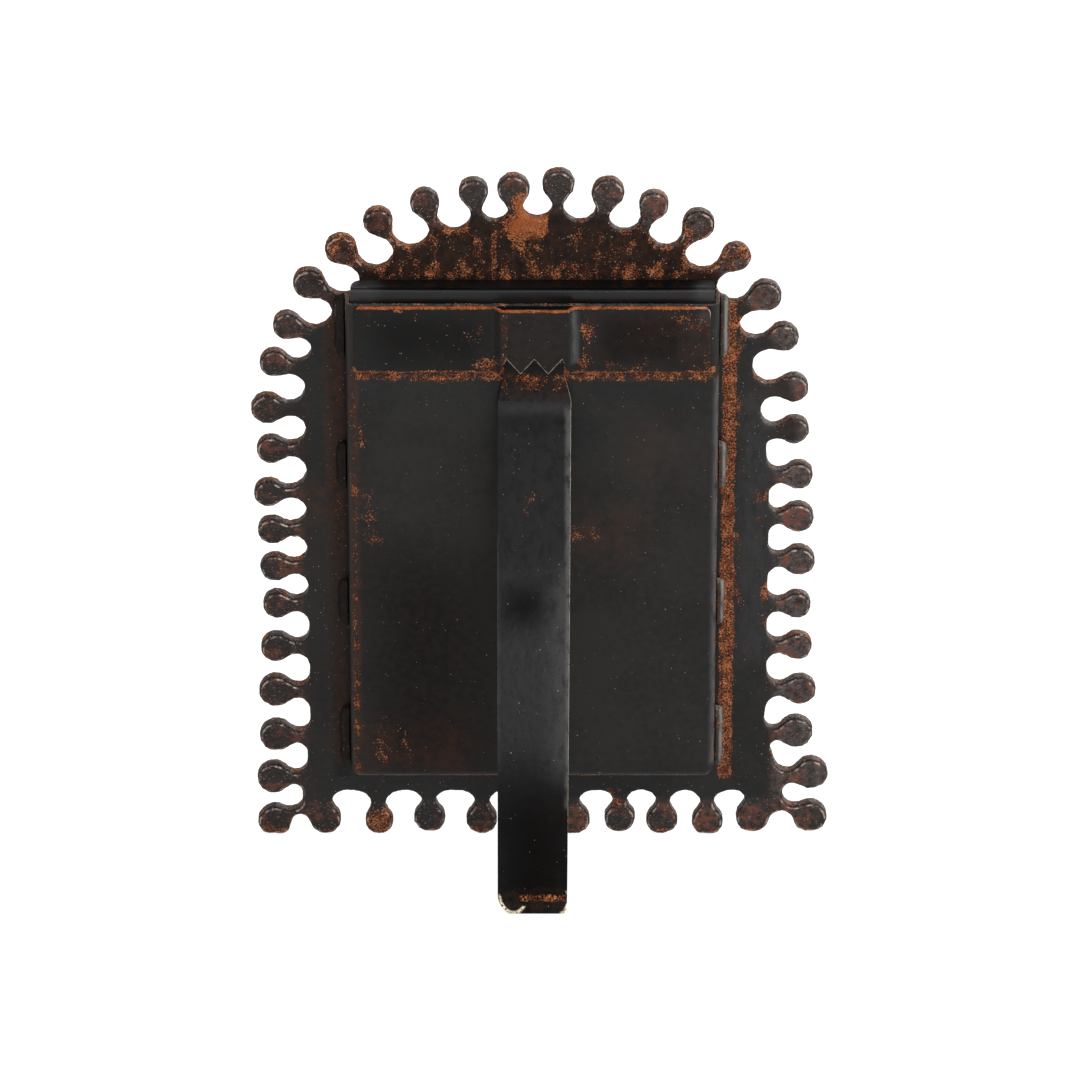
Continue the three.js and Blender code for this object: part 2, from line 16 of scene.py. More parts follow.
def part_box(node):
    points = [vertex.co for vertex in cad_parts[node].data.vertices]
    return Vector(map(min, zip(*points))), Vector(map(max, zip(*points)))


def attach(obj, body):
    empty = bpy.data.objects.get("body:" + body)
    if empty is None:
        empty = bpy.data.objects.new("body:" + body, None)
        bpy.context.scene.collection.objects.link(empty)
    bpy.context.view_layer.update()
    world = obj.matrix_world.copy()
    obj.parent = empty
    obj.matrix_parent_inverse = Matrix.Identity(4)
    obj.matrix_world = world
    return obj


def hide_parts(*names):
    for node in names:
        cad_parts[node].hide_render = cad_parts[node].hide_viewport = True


MM = 0.001

# How the frame stands, in millimetres and radians
LEAN = math.radians(15)
PANE_MIDDLE = (1.9, 1.3, 103.7)

# Places on the plate, in its own axes, in millimetres. Left is -x and right is +x, as seen from the front,
# so the photograph's view from behind shows them the other way round.
HOUSING_MIDDLE = 1.9
HOUSING_HALF = 53.4
LEFT_WALL = HOUSING_MIDDLE - HOUSING_HALF
RIGHT_WALL = HOUSING_MIDDLE + HOUSING_HALF
HOUSING_BOTTOM = 24.9
HOUSING_TOP = 183.3
STRAP_BOTTOM = 162.2
STRAP_TOP = 183.1
POCKET_MIDDLE = 1.3
POCKET_HALF = 9.2
PLATE_THICKNESS = 3.6
LEG_FOOT = 20.0
ARCH_CENTRE = 134.7
ARCH_VALLEYS = 73.4
SIDE_VALLEYS = 67.4
BOTTOM_VALLEYS = 13.5
KNOB_NECK = 3.0
ROUGH_KNOB = (-74.9, 109.6)
ROUGH_KNOB_REACH = 7.0

# Ranges that hold the housing, the leg and the welds, with room to spare
HOUSING_SIDES = (-60, 60)
LEG_SIDES = (-12, 14)
WELD_HEIGHTS = (0, 200)
ALL_WELDS = (-70, 70)
LEFT_WELDS = (-70, -40)
RIGHT_WELDS = (40, 70)

# Strips along the left welds: towards the plate's edge, on their ridge and towards the housing
WELD_OUTSIDE = (-56, -53.9)
WELD_RIDGE = (-53.9, -53.0)
WELD_INSIDE = (-53.0, -51)

# Ovals through the scraped corners of the leg's toe: middle x and z, half width, half height, line
TOE_RIGHT = (7.3, 25.7, 4.0, 5.1, 0.55)
TOE_LEFT = (-5.6, 24.4, 2.8, 4.2, 0.55)

# Parts of these ovals that show: oval, x and z
TOE_SCRAPES = (
    (TOE_RIGHT, (8.2, 14), (16, 25.6)),
    (TOE_RIGHT, (3, 9), (16, 22.2)),
    (TOE_LEFT, (-12, -6), (16, 26.5)),
)
TOE_SOFT = 0.8

# Share of an oval's line that is fully drawn
ARC_CORE = 0.3

# Fineness and unevenness of the surfaces, in millimetres, and steps of smoothing
CASTING_VOXEL = 0.42
WELD_VOXEL = 0.28
OUTLINE_WOBBLE = 0.24
OUTLINE_WOBBLE_SIZE = 5.5
OUTLINE_NICKS = 0.09
OUTLINE_NICK_SIZE = 1.7
WALL_GRAIN = 0.09
WALL_GRAIN_SIZE = 0.9
ROUGH_KNOB_GRAIN = 0.16
KNOB_GRAIN = 0.05
EDGE_ROUND = 0.9
EDGE_SINK = 0.25
WELD_LUMPS = 0.16
WELD_LUMP_SIZE = 2.2
WELD_GRAIN_SIZE = 0.9
WELD_TOP_WEAR = 0.9
DOME_RELAX_STEPS = 45
WALL_RELAX_STEPS = 12
WELD_RELAX_STEPS = 2
RIM_REACH = 3.0
MERGE_DISTANCE = 0.005

# Points further forward than this are on the domes or on the bead round the window
FRONT_FACE = -PLATE_THICKNESS - 0.2

# A point belongs to a wall where its normal leans less than this towards the plate's front or back
WALL_NORMAL = 0.95

# How far each seed moves the noise of the surfaces
SEED_STEPS = (13.7, 5.3, 9.1)

# Rounded edges of the bent pieces, in millimetres, and the angles that make an edge or a flat
SHEET_ROUND = 0.22
TRAY_ROUND = 0.25
LEG_ROUND = 0.7
ROUND_SEGMENTS = 3
EDGE_ANGLE = math.radians(32)
FLAT_ANGLE = math.radians(1)
THINNED_ANGLE = math.radians(0.5)

# Finish colours, linear
CHARCOAL_DARK = (0.0050, 0.0046, 0.0044, 1)
CHARCOAL_LIGHT = (0.0125, 0.0118, 0.0112, 1)
LEG_DARK = (0.0018, 0.0018, 0.0019, 1)
LEG_LIGHT = (0.0080, 0.0080, 0.0080, 1)
BROWN = (0.0270, 0.0150, 0.0105, 1)
RUST_DEEP = (0.092, 0.030, 0.0145, 1)
RUST_BRIGHT = (0.52, 0.170, 0.066, 1)
RUST_THICK = (0.34, 0.092, 0.026, 1)
KNOB_WORN = (0.112, 0.090, 0.086, 1)
# Grey of worn paint, also used for painted highlights and for the tray's painted reflection
GREY_WEAR_AND_HIGHLIGHT = (0.090, 0.089, 0.090, 1)
KNOB_RUST = (0.165, 0.057, 0.036, 1)
# Black of the pits, also used for painted shade in the dark places and round the knobs
PIT_AND_SHADE_BLACK = (0.0035, 0.0030, 0.0028, 1)
BARE_METAL = (0.44, 0.37, 0.29, 1)
STEEL_WEAR_AND_HIGHLIGHT = (0.50, 0.42, 0.31, 1)
RIM_HIGHLIGHT_AND_SCRATCH = (0.40, 0.31, 0.26, 1)
STRAP_DARK = (0.0038, 0.0034, 0.0032, 1)
STRAP_LIGHT = (0.0070, 0.0066, 0.0062, 1)
BEAD_DARK = (0.012, 0.010, 0.009, 1)
BEAD_BROWN = (0.050, 0.036, 0.028, 1)
# BEAD_GREY is the painted highlight along the weld beads' ridge
BEAD_GREY = (0.200, 0.185, 0.165, 1)
WALL_SCRAPE_AND_HIGHLIGHT = (0.150, 0.098, 0.074, 1)
FLECK = (0.40, 0.34, 0.28, 1)
TRAY_BLACK = (0.0018, 0.0018, 0.0020, 1)
CARD_CREAM = (0.72, 0.66, 0.54, 1)
CARD_SHADE = (0.62, 0.55, 0.43, 1)
BOARD_BROWN = (0.25, 0.155, 0.080, 1)
BOARD_FLECK = (0.14, 0.080, 0.040, 1)

# Noises of a patina: step of the seed, size in millimetres and detail
NOISES = {
    "clouds": (0, 24, 3),
    "mottle": (1, 2.2, 6),
    "rust_clumps": (3, 4.0, 5),
    "rust_grains": (4, 0.5, 2),
    "rust_tone": (5, 0.55, 2),
    "rust_shade": (6, 3, 2),
    "grit": (8, 0.5, 0),
    "knob_rust": (17, 2.6, 6),
    "each_knob": (18, 13, 1),
}

# Spots of a patina: the same values of their noise, and the levels at which a spot starts and is full
SPOTS = {
    "brown": (2, 9, 5, 0.48, 0.70),
    "dark_grains": (7, 0.6, 1, 0.47, 0.39),
    "bare": (9, 1.3, 3, 0.30, 0.55),
    "knob_wear": (10, 2.2, 8, 0.30, 0.66),
    "crest": (11, 2.2, 3, 0.46, 0.60),
    "pits": (12, 0.7, 1, 0.32, 0.27),
    "wall_wear": (13, 0.8, 4, 0.44, 0.62),
    "film": (14, 3.5, 5, 0.30, 0.70),
    "wear_and_highlight": (15, 2.4, 5, 0.26, 0.58),
    "scratches": (16, 0.45, 2, 0.61, 0.67),
    "toe": (16, 0.7, 4, 0.36, 0.52),
    "knob_grain": (19, 0.55, 2, 0.38, 0.60),
}
WEAR_AND_HIGHLIGHT_STRETCH = (1, 1, 2.5)
SCRATCH_STRETCH = (2, 1, 1)
NOISE_ROUGHNESS = 0.55
NOISE_MIDDLE = 0.5

# A patina's ground and brown clouds: shares, and the levels between which a change happens
MOTTLE_SHARE = 0.5
TONE_LEVELS = (0.60, 0.92)
BROWN_MOTTLE = (0.36, 0.62)

# A patina's rust and flecks. The pairs are amounts of rust, but RUST_TONES are levels of its noise.
RUST_LEVELS = (0.50, 0.60)
THICK_RUST = (1.1, 1.5)
THICK_SHARE = 0.7
THIN_RUST = (1.35, 0.95)
RUST_SHADE_SHARE = 0.7
RUST_TONES = (0.76, 1.02)
FLECKED_RUST = (0.0, 0.6)
FLECKED_SHARE = 0.07
FLECK_SOFT = 0.03

# A patina's gloss and relief
DARK_GLOSS = 0.25
BROWN_DULLNESS = 0.45
RUST_ROUGHNESS = 0.85
BARE_ROUGHNESS = 0.38
BARE_METALNESS = 0.7
RELIEF_DEPTH = 0.22
RELIEF_STRENGTH = 0.7
RUST_RELIEF = 1.4
MOTTLE_RELIEF = 0.4
PIT_RELIEF = 0.7

# Where the casting's wear and its painted light and shade change, in millimetres: pairs of x, y, z or
# distances from the rim
BACK_DEPTHS = (-3.0, -1.2)
WALL_BACK = (-0.5, -1.0)
WALL_FRONT = (-3.7, -3.3)
WORN_SIDE = (20, -40)
LIT_AND_WORN_SIDE = (10, -50)
RUSTY_SIDE = (-30, 30)
WORN_TOP = (150, 190)
LESS_WORN_BOTTOM = (8, 18)
RUSTY_RIM = (1.5, 0.0)
OUTLINE_RIM = (0.50, 0.10)
OUTLINE_DEPTHS = (-1.3, -0.7)
CREST_OUTSIDE = (0.15, 0.45)
CREST_INSIDE = (0.90, 0.60)
CREST_DEPTHS = (-0.9, -0.5)

# How strong the casting's wear, painted highlights and painted shade are. A pair changes along one of the
# pairs above.
TOP_WEAR = 0.22
KNOB_WEAR_AND_LIGHT = (0.14, 1.0)
BOTTOM_WEAR = (0.3, 1.0)
KNOB_RUST_SHARE = (0.55, 0.85)
WALL_SCRAPE_AND_LIGHT = (0.35, 1.0)
WALL_BROWN = 0.9
WALL_RUST = (0.18, 0.28)
KNOB_RUSTINESS = 0.10
OUTLINE_DARK = 0.85
CREST_SHARE = 0.8
SCRATCH_SHARE = 0.45

# From plate to knob: where the painted highlight of the crest starts and is full, and the rust along the
# rims
CREST_KNOB = (0.5, 1.0)
RIM_RUST = (0.24, 0.10)

# Wear of the knobs outside and inside its grains, and levels of the noise of their rust
GRAIN_WEAR = (0.70, 1.15)
KNOB_RUST_LEVELS = (0.98, 1.22)

# Noises of the tray, glass, card and board: size in millimetres, seed, detail and any stretch
TRAY_SMUDGES = (14, 51.0, 3)
TRAY_GRAIN = (0.5, 52.0, 2)
TRAY_CHIPS = (1.5, 53.0, 3)
GLASS_HAZE = (18, 61.0, 3)
CARD_FIBRE = (0.6, 71.0, 3, (3, 1, 1))
BOARD_FIBRE = (1.1, 81.0, 4, (1, 1, 2))

# Levels of these noises, and the depth in millimetres and strength of each relief
SMUDGE_LEVELS = (0.3, 0.7)
REFLECTION_LEVELS = (0.35, 0.60)
CHIP_LEVELS = (0.40, 0.50)
HAZE_LEVELS = (0.4, 0.8)
CARD_LEVELS = (0.35, 0.75)
BOARD_LEVELS = (0.4, 0.7)
TRAY_RELIEF = (0.05, 0.25)
CARD_RELIEF = (0.05, 0.3)
BOARD_RELIEF = (0.1, 0.4)

# Shine of the tray and the glass
TRAY_SHEEN = (0.26, 0.40)
TRAY_METALNESS = 0.9
HAZE_ROUGHNESS = 0.04
GLASS_TINT = (0.95, 0.98, 0.97, 1)
GLASS_IOR = 1.5

# Camera, set from the photograph's view of the back. Its clip is in metres.
CAMERA_RISE = math.radians(15)
CAMERA_DISTANCE = 2300
CAMERA_FOCAL = 263.7
CAMERA_SENSOR = 36
CAMERA_AIM = (-0.29, 0, 101.2)
CAMERA_CLIP = 20

# Lamps: direction, distance and size in metres, and how bright each makes a white surface that faces it
LAMPS = {
    "key_lamp": ((-0.75, 0.75, 0.65), 1.6, 0.7, 0.32),
    "rim_lamp": ((-1.0, 0.22, 0.22), 1.6, 0.8, 0.45),
    "fill_lamp": ((0.9, 0.6, 0.5), 1.8, 1.0, 0.16),
    "top_lamp": ((0.1, 0.1, 1.0), 1.5, 0.8, 0.30),
    "front_lamp": ((-0.4, -1.0, 0.5), 1.8, 1.0, 0.40),
    "leg_lamp": ((-0.14, 1.0, 0.05), 1.8, 0.4, 0.26),
}
LAMPS_MIDDLE = (0, 0, 0.1)

# World and floor. WORLD_SEEN and FLOOR_GLOW hold only where these are seen directly.
WORLD_LIGHT = 0.32
WORLD_SEEN = 1.0
FLOOR_SIZE = 30
FLOOR_GREY = 0.4
FLOOR_GLOW = 0.86


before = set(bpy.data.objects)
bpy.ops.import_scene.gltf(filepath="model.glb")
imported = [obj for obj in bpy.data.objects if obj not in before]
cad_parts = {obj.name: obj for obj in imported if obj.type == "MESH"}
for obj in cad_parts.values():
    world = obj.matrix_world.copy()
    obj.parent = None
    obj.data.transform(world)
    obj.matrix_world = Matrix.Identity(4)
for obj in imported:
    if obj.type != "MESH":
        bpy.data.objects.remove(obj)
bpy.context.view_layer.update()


def plate_axes():
    """Takes the plate's axes, in metres, to the world's. The glass pane shows where the plate stands."""
    low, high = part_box("glass_pane")
    turn = Matrix.Rotation(-LEAN, 4, "X")
    start = (low + high) / 2 - turn @ (Vector(PANE_MIDDLE) * MM)
    return Matrix.Translation(start) @ turn


PLATE = plate_axes()


# Meshes


def cad_copy(name, node):
    """A new object with a welded copy of a node's mesh, in the plate's axes."""
    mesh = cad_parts[node].data.copy()
    mesh.name = name
    mesh.transform(PLATE.inverted())
    shell = bmesh.new()
    shell.from_mesh(mesh)
    bmesh.ops.remove_doubles(shell, verts=shell.verts, dist=MERGE_DISTANCE * MM)
    shell.to_mesh(mesh)
    shell.free()
    mesh.materials.clear()
    piece = bpy.data.objects.new(name, mesh)
    bpy.context.scene.collection.objects.link(piece)
    return piece


def apply_modifiers(piece):
    bpy.context.view_layer.update()
    evaluated = piece.evaluated_get(bpy.context.evaluated_depsgraph_get())
    mesh = bpy.data.meshes.new_from_object(evaluated)
    mesh.name = piece.name
    piece.modifiers.clear()
    piece.data = mesh


def voxel_mesh(piece, voxel):
    modifier = piece.modifiers.new("voxels", "REMESH")
    modifier.mode = "VOXEL"
    modifier.voxel_size = voxel * MM
    modifier.use_smooth_shade = True
    apply_modifiers(piece)


def points_of(mesh):
    flat = np.empty(len(mesh.vertices) * 3)
    mesh.vertices.foreach_get("co", flat)
    return flat.reshape(-1, 3) / MM


def set_points(mesh, points):
    mesh.vertices.foreach_set("co", (points * MM).ravel())
    mesh.update()


def normals_of(mesh):
    flat = np.empty(len(mesh.vertices) * 3)
    mesh.vertex_normals.foreach_get("vector", flat)
    return flat.reshape(-1, 3)


def edges_of(mesh):
    flat = np.empty(len(mesh.edges) * 2, dtype=np.int64)
    mesh.edges.foreach_get("vertices", flat)
    return flat.reshape(-1, 2)


def relaxed(points, edges, steps, moving):
    """Moves the chosen points halfway to the middle of their chosen neighbours, steps times."""
    inside = edges[moving[edges[:, 0]] & moving[edges[:, 1]]]
    ends = np.concatenate([inside[:, 0], inside[:, 1]])
    others = np.concatenate([inside[:, 1], inside[:, 0]])
    count = np.bincount(ends, minlength=len(points))
    linked = count > 0
    for _ in range(steps):
        for axis in range(3):
            total = np.bincount(ends, weights=points[others, axis], minlength=len(points))
            middle = total[linked] / count[linked]
            points[linked, axis] += (middle - points[linked, axis]) / 2
    return points


def uneven(points, size, seed):
    """Smooth noise between about -1 and 1 at each point, with bumps of about the given size."""
    shift = Vector([seed * step for step in SEED_STEPS])
    return np.array([noise.noise(Vector(point) / size + shift) for point in points])


def keep_inside(piece, node):
    """Moves the mesh to the world and holds it inside its node's box."""
    mesh = piece.data
    mesh.transform(PLATE)
    low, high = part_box(node)
    points = np.clip(points_of(mesh), np.array(low) / MM, np.array(high) / MM)
    set_points(mesh, points)


def finish_piece(piece, node, body, material):
    piece.data.materials.clear()
    piece.data.materials.append(material)
    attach(piece, body)
    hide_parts(node)


def set_attribute(mesh, name, values):
    attribute = mesh.attributes.new(name, "FLOAT", "POINT")
    attribute.data.foreach_set("value", values.astype(np.float32))


def distance_to(points, targets):
    """Each point's distance to the nearest of the target points, up to RIM_REACH."""
    tree = KDTree(len(targets))
    for index, target in enumerate(targets):
        tree.insert(target, index)
    tree.balance()
    return np.array([min(tree.find(point)[2], RIM_REACH) for point in points])


def straightened(points, edges, chosen):
    """Smooths the stepped walls across the plate without shrinking them."""
    once = relaxed(points.copy(), edges, WALL_RELAX_STEPS, chosen)
    twice = relaxed(once.copy(), edges, WALL_RELAX_STEPS, chosen)
    points[:, [0, 2]] = (2 * once - twice)[:, [0, 2]]
    return points


def walls_of(mesh):
    """True for the points on the plate's outline and window walls, with their edges."""
    sideways = np.abs(normals_of(mesh)[:, 1]) < WALL_NORMAL
    return sideways & (points_of(mesh)[:, 1] > FRONT_FACE)


def knob_share(points):
    """0 on the plate and 1 on the knobs, with a soft change at their necks."""
    from_arch = np.hypot(points[:, 0], points[:, 2] - ARCH_CENTRE) - ARCH_VALLEYS
    from_sides = np.abs(points[:, 0]) - SIDE_VALLEYS
    out = np.where(points[:, 2] > ARCH_CENTRE, from_arch, from_sides)
    out = np.maximum(out, BOTTOM_VALLEYS - points[:, 2])
    return np.clip(out / KNOB_NECK, 0, 1)


def thin_out_flats(mesh):
    """Merges the faces on the flats that are far from the walls and the knobs."""
    points = points_of(mesh)
    away = distance_to(points, points[walls_of(mesh)]) >= RIM_REACH
    away &= (points[:, 1] > FRONT_FACE) & (knob_share(points) == 0)
    shell = bmesh.new()
    shell.from_mesh(mesh)
    verts = [vert for vert, far in zip(shell.verts, away) if far]
    edges = [edge for edge in shell.edges if away[edge.verts[0].index] and away[edge.verts[1].index]]
    bmesh.ops.dissolve_limit(shell, angle_limit=THINNED_ANGLE, verts=verts, edges=edges)
    bmesh.ops.triangulate(shell, faces=[face for face in shell.faces if len(face.verts) > 4])
    shell.to_mesh(mesh)
    shell.free()


def round_back_edges(points, rim, knob):
    """Lowers the back face a little towards its edges, most of all on the knobs."""
    near = np.clip(1 - rim / EDGE_ROUND, 0, 1) ** 2
    behind = np.clip(1 + points[:, 1] / (PLATE_THICKNESS / 2), 0, 1)
    points[:, 1] -= EDGE_SINK * (1 + knob) * near * behind


def casting_mesh():
    """The casting with rounded knobs, an uneven outline, crisp back edges and rough walls."""
    piece = cad_copy("casting", "frame_casting")
    voxel_mesh(piece, CASTING_VOXEL)
    mesh = piece.data
    edges = edges_of(mesh)
    points = points_of(mesh)
    front = points[:, 1] < FRONT_FACE
    points = relaxed(points, edges, DOME_RELAX_STEPS, front)
    points = straightened(points, edges, walls_of(mesh))
    across = points * (1, 0, 1)
    for axis, seed in ((0, 1), (2, 2)):
        points[:, axis] += OUTLINE_WOBBLE * uneven(across, OUTLINE_WOBBLE_SIZE, seed)
        points[:, axis] += OUTLINE_NICKS * uneven(across, OUTLINE_NICK_SIZE, seed + 10)
    set_points(mesh, points)
    thin_out_flats(mesh)
    points = points_of(mesh)
    rim = distance_to(points, points[walls_of(mesh)])
    knob = knob_share(points)
    set_attribute(mesh, "rim", rim)
    set_attribute(mesh, "knob", knob)
    round_back_edges(points, rim, knob)
    set_points(mesh, points)
    from_rough = np.hypot(points[:, 0] - ROUGH_KNOB[0], points[:, 2] - ROUGH_KNOB[1])
    rough = np.clip(1 - from_rough / ROUGH_KNOB_REACH, 0, 1)
    cast_skin = (rim < WALL_GRAIN_SIZE) | (points[:, 1] < -PLATE_THICKNESS)
    depth = WALL_GRAIN * cast_skin + KNOB_GRAIN * knob + ROUGH_KNOB_GRAIN * rough
    points += normals_of(mesh) * (depth * uneven(points, WALL_GRAIN_SIZE, 3))[:, None]
    set_points(mesh, points)
    keep_inside(piece, "frame_casting")
    return piece


def weld_mesh(node, seed):
    """A lumpy bead, whose attribute edge is 1 along its upper end."""
    piece = cad_copy(node.replace("weld", "bead"), node)
    voxel_mesh(piece, WELD_VOXEL)
    mesh = piece.data
    points = points_of(mesh)
    edges = edges_of(mesh)
    points = relaxed(points, edges, WELD_RELAX_STEPS, np.ones(len(points), dtype=bool))
    set_points(mesh, points)
    lumps = uneven(points, WELD_LUMP_SIZE, seed) + uneven(points, WELD_GRAIN_SIZE, seed + 20) / 2
    points += normals_of(mesh) * (WELD_LUMPS * lumps)[:, None]
    set_points(mesh, points)
    from_top = points[:, 2].max() - points[:, 2]
    set_attribute(mesh, "edge", np.clip(1 - from_top / WELD_TOP_WEAR, 0, 1))
    keep_inside(piece, node)
    return piece


def mark_bevels(mesh):
    """Turns the second material slot, which the bevels use, into the attribute edge."""
    slots = np.empty(len(mesh.polygons), dtype=np.int32)
    mesh.polygons.foreach_get("material_index", slots)
    attribute = mesh.attributes.new("edge", "FLOAT", "FACE")
    attribute.data.foreach_set("value", slots.astype(np.float32))
    mesh.polygons.foreach_set("material_index", np.zeros_like(slots))


def bevelled_mesh(name, node, width):
    """A node's shape with its sharp edges rounded."""
    piece = cad_copy(name, node)
    shell = bmesh.new()
    shell.from_mesh(piece.data)
    bmesh.ops.dissolve_limit(
        shell, angle_limit=FLAT_ANGLE, verts=shell.verts, edges=shell.edges, delimit=set()
    )
    shell.to_mesh(piece.data)
    shell.free()
    for face in piece.data.polygons:
        face.use_smooth = True
    for _ in range(2):
        piece.data.materials.append(None)
    bevel = piece.modifiers.new("bevel", "BEVEL")
    bevel.width = width * MM
    bevel.segments = ROUND_SEGMENTS
    bevel.limit_method = "ANGLE"
    bevel.angle_limit = EDGE_ANGLE
    bevel.material = 1
    weighted = piece.modifiers.new("normals", "WEIGHTED_NORMAL")
    weighted.keep_sharp = True
    apply_modifiers(piece)
    mark_bevels(piece.data)
    keep_inside(piece, node)
    return piece


# Materials


class Recipe:
    """A material under construction. Each call adds one shading step and gives its result."""

    def __init__(self, name):
        self.material = bpy.data.materials.new(name)
        self.material.use_nodes = True
        self.nodes = self.material.node_tree.nodes
        self.links = self.material.node_tree.links
        self.shader = self.nodes["Principled BSDF"]
        self.place = self.plate_position()
        split = self.step("ShaderNodeSeparateXYZ", {0: self.place})
        self.x, self.y, self.z = split.outputs

    def step(self, kind, inputs, **settings):
        node = self.nodes.new(kind)
        for name, value in settings.items():
            setattr(node, name, value)
        for socket, value in inputs.items():
            self.feed(node.inputs[socket], value)
        return node

    def feed(self, socket, value):
        if isinstance(value, bpy.types.NodeSocket):
            self.links.new(value, socket)
        else:
            socket.default_value = value

    def plate_position(self):
        """The point in the plate's axes, in millimetres."""
        start = PLATE.inverted().translation / MM
        coordinates = self.step("ShaderNodeTexCoord", {})
        mapping = self.step(
            "ShaderNodeMapping",
            {
                "Vector": coordinates.outputs["Object"],
                "Location": start,
                "Rotation": (LEAN, 0, 0),
                "Scale": (1 / MM, 1 / MM, 1 / MM),
            },
        )
        return mapping.outputs[0]

    def maths(self, operation, first, second=0.0, clamp=False):
        node = self.step("ShaderNodeMath", {0: first, 1: second}, operation=operation, use_clamp=clamp)
        return node.outputs[0]

    def joined(self, operation, values):
        """All the values, joined one after another by the same kind of maths."""
        result = values[0]
        for value in values[1:]:
            result = self.maths(operation, result, value)
        return result

    def times(self, *values):
        return self.joined("MULTIPLY", values)

    def plus(self, *values):
        return self.joined("ADD", values)

    def minus(self, first, second):
        return self.maths("SUBTRACT", first, second)

    def most(self, *values):
        return self.joined("MAXIMUM", values)

    def distance(self, value, place):
        return self.maths("ABSOLUTE", self.minus(value, place))

    def ramp(self, value, start, end):
        """0 at start and 1 at end, smooth between them. Start may be the larger."""
        inputs = {"Value": value, "From Min": start, "From Max": end}
        return self.step("ShaderNodeMapRange", inputs, interpolation_type="SMOOTHSTEP").outputs[0]

    def varied(self, value, levels, results):
        """A number that goes through the results, smoothly, as the value goes through the levels."""
        return self.blend_number(self.ramp(value, *levels), *results)

    def noise(self, size, seed, detail, stretch=(1, 1, 1)):
        """Noise around NOISE_MIDDLE, with clouds of about the given size in millimetres."""
        scale = tuple(1 / (size * axis) for axis in stretch)
        mapping = self.step("ShaderNodeMapping", {"Vector": self.place, "Scale": scale})
        inputs = {
            "Vector": mapping.outputs[0],
            "W": seed,
            "Scale": 1.0,
            "Detail": detail,
            "Roughness": NOISE_ROUGHNESS,
        }
        return self.step("ShaderNodeTexNoise", inputs, noise_dimensions="4D").outputs[0]

    def blend(self, share, first, second):
        node = self.nodes.new("ShaderNodeMix")
        node.data_type = "RGBA"
        self.feed(node.inputs[0], share)
        self.feed(node.inputs[6], first)
        self.feed(node.inputs[7], second)
        return node.outputs[2]

    def blend_number(self, share, first, second):
        inputs = {"Value": share, "To Min": first, "To Max": second}
        return self.step("ShaderNodeMapRange", inputs).outputs[0]

    def attribute(self, name):
        return self.step("ShaderNodeAttribute", {}, attribute_name=name).outputs["Fac"]

    def patch(self, x, z, soft):
        """1 inside the ranges of x and z and 0 outside, with soft borders."""
        bands = []
        for value, (start, end) in ((self.x, x), (self.z, z)):
            half = (end - start) / 2
            away = self.distance(value, (start + end) / 2)
            bands.append(self.ramp(away, half + soft / 2, half - soft / 2))
        return self.times(*bands)

    def patches(self, places):
        """The strongest of several patches, each given as x, z, soft and strength."""
        shares = [self.times(self.patch(*place), strength) for *place, strength in places]
        return self.most(*shares)

    def arc(self, x, z, wide, tall, line):
        """1 on the outline of an oval and 0 away from it, in a line of the given width."""
        across = self.maths("DIVIDE", self.minus(self.x, x), wide)
        up = self.maths("DIVIDE", self.minus(self.z, z), tall)
        squares = self.plus(self.times(across, across), self.times(up, up))
        away = self.distance(self.maths("SQRT", squares), 1.0)
        return self.ramp(away, line / wide, ARC_CORE * line / wide)

    def bump(self, height, distance, strength):
        inputs = {"Height": height, "Distance": distance * MM, "Strength": strength}
        return self.step("ShaderNodeBump", inputs).outputs[0]

    def surface(self, **inputs):
        for name, value in inputs.items():
            self.feed(self.shader.inputs[name.replace("_", " ")], value)


PLAIN_PATINA = {
    "tones": (CHARCOAL_DARK, CHARCOAL_LIGHT),
    "wear_and_highlight_tone": GREY_WEAR_AND_HIGHLIGHT,
    "metal": BARE_METAL,
    "browning": 0.5,
    "sheen": 0.46,
    "gloss": 0.2,
    "streak": 1,
    "clumping": 1.6,
    "graining": 1.6,
    "flecks": 0.80,
    "film": (),
    "wear_and_highlight": (),
}


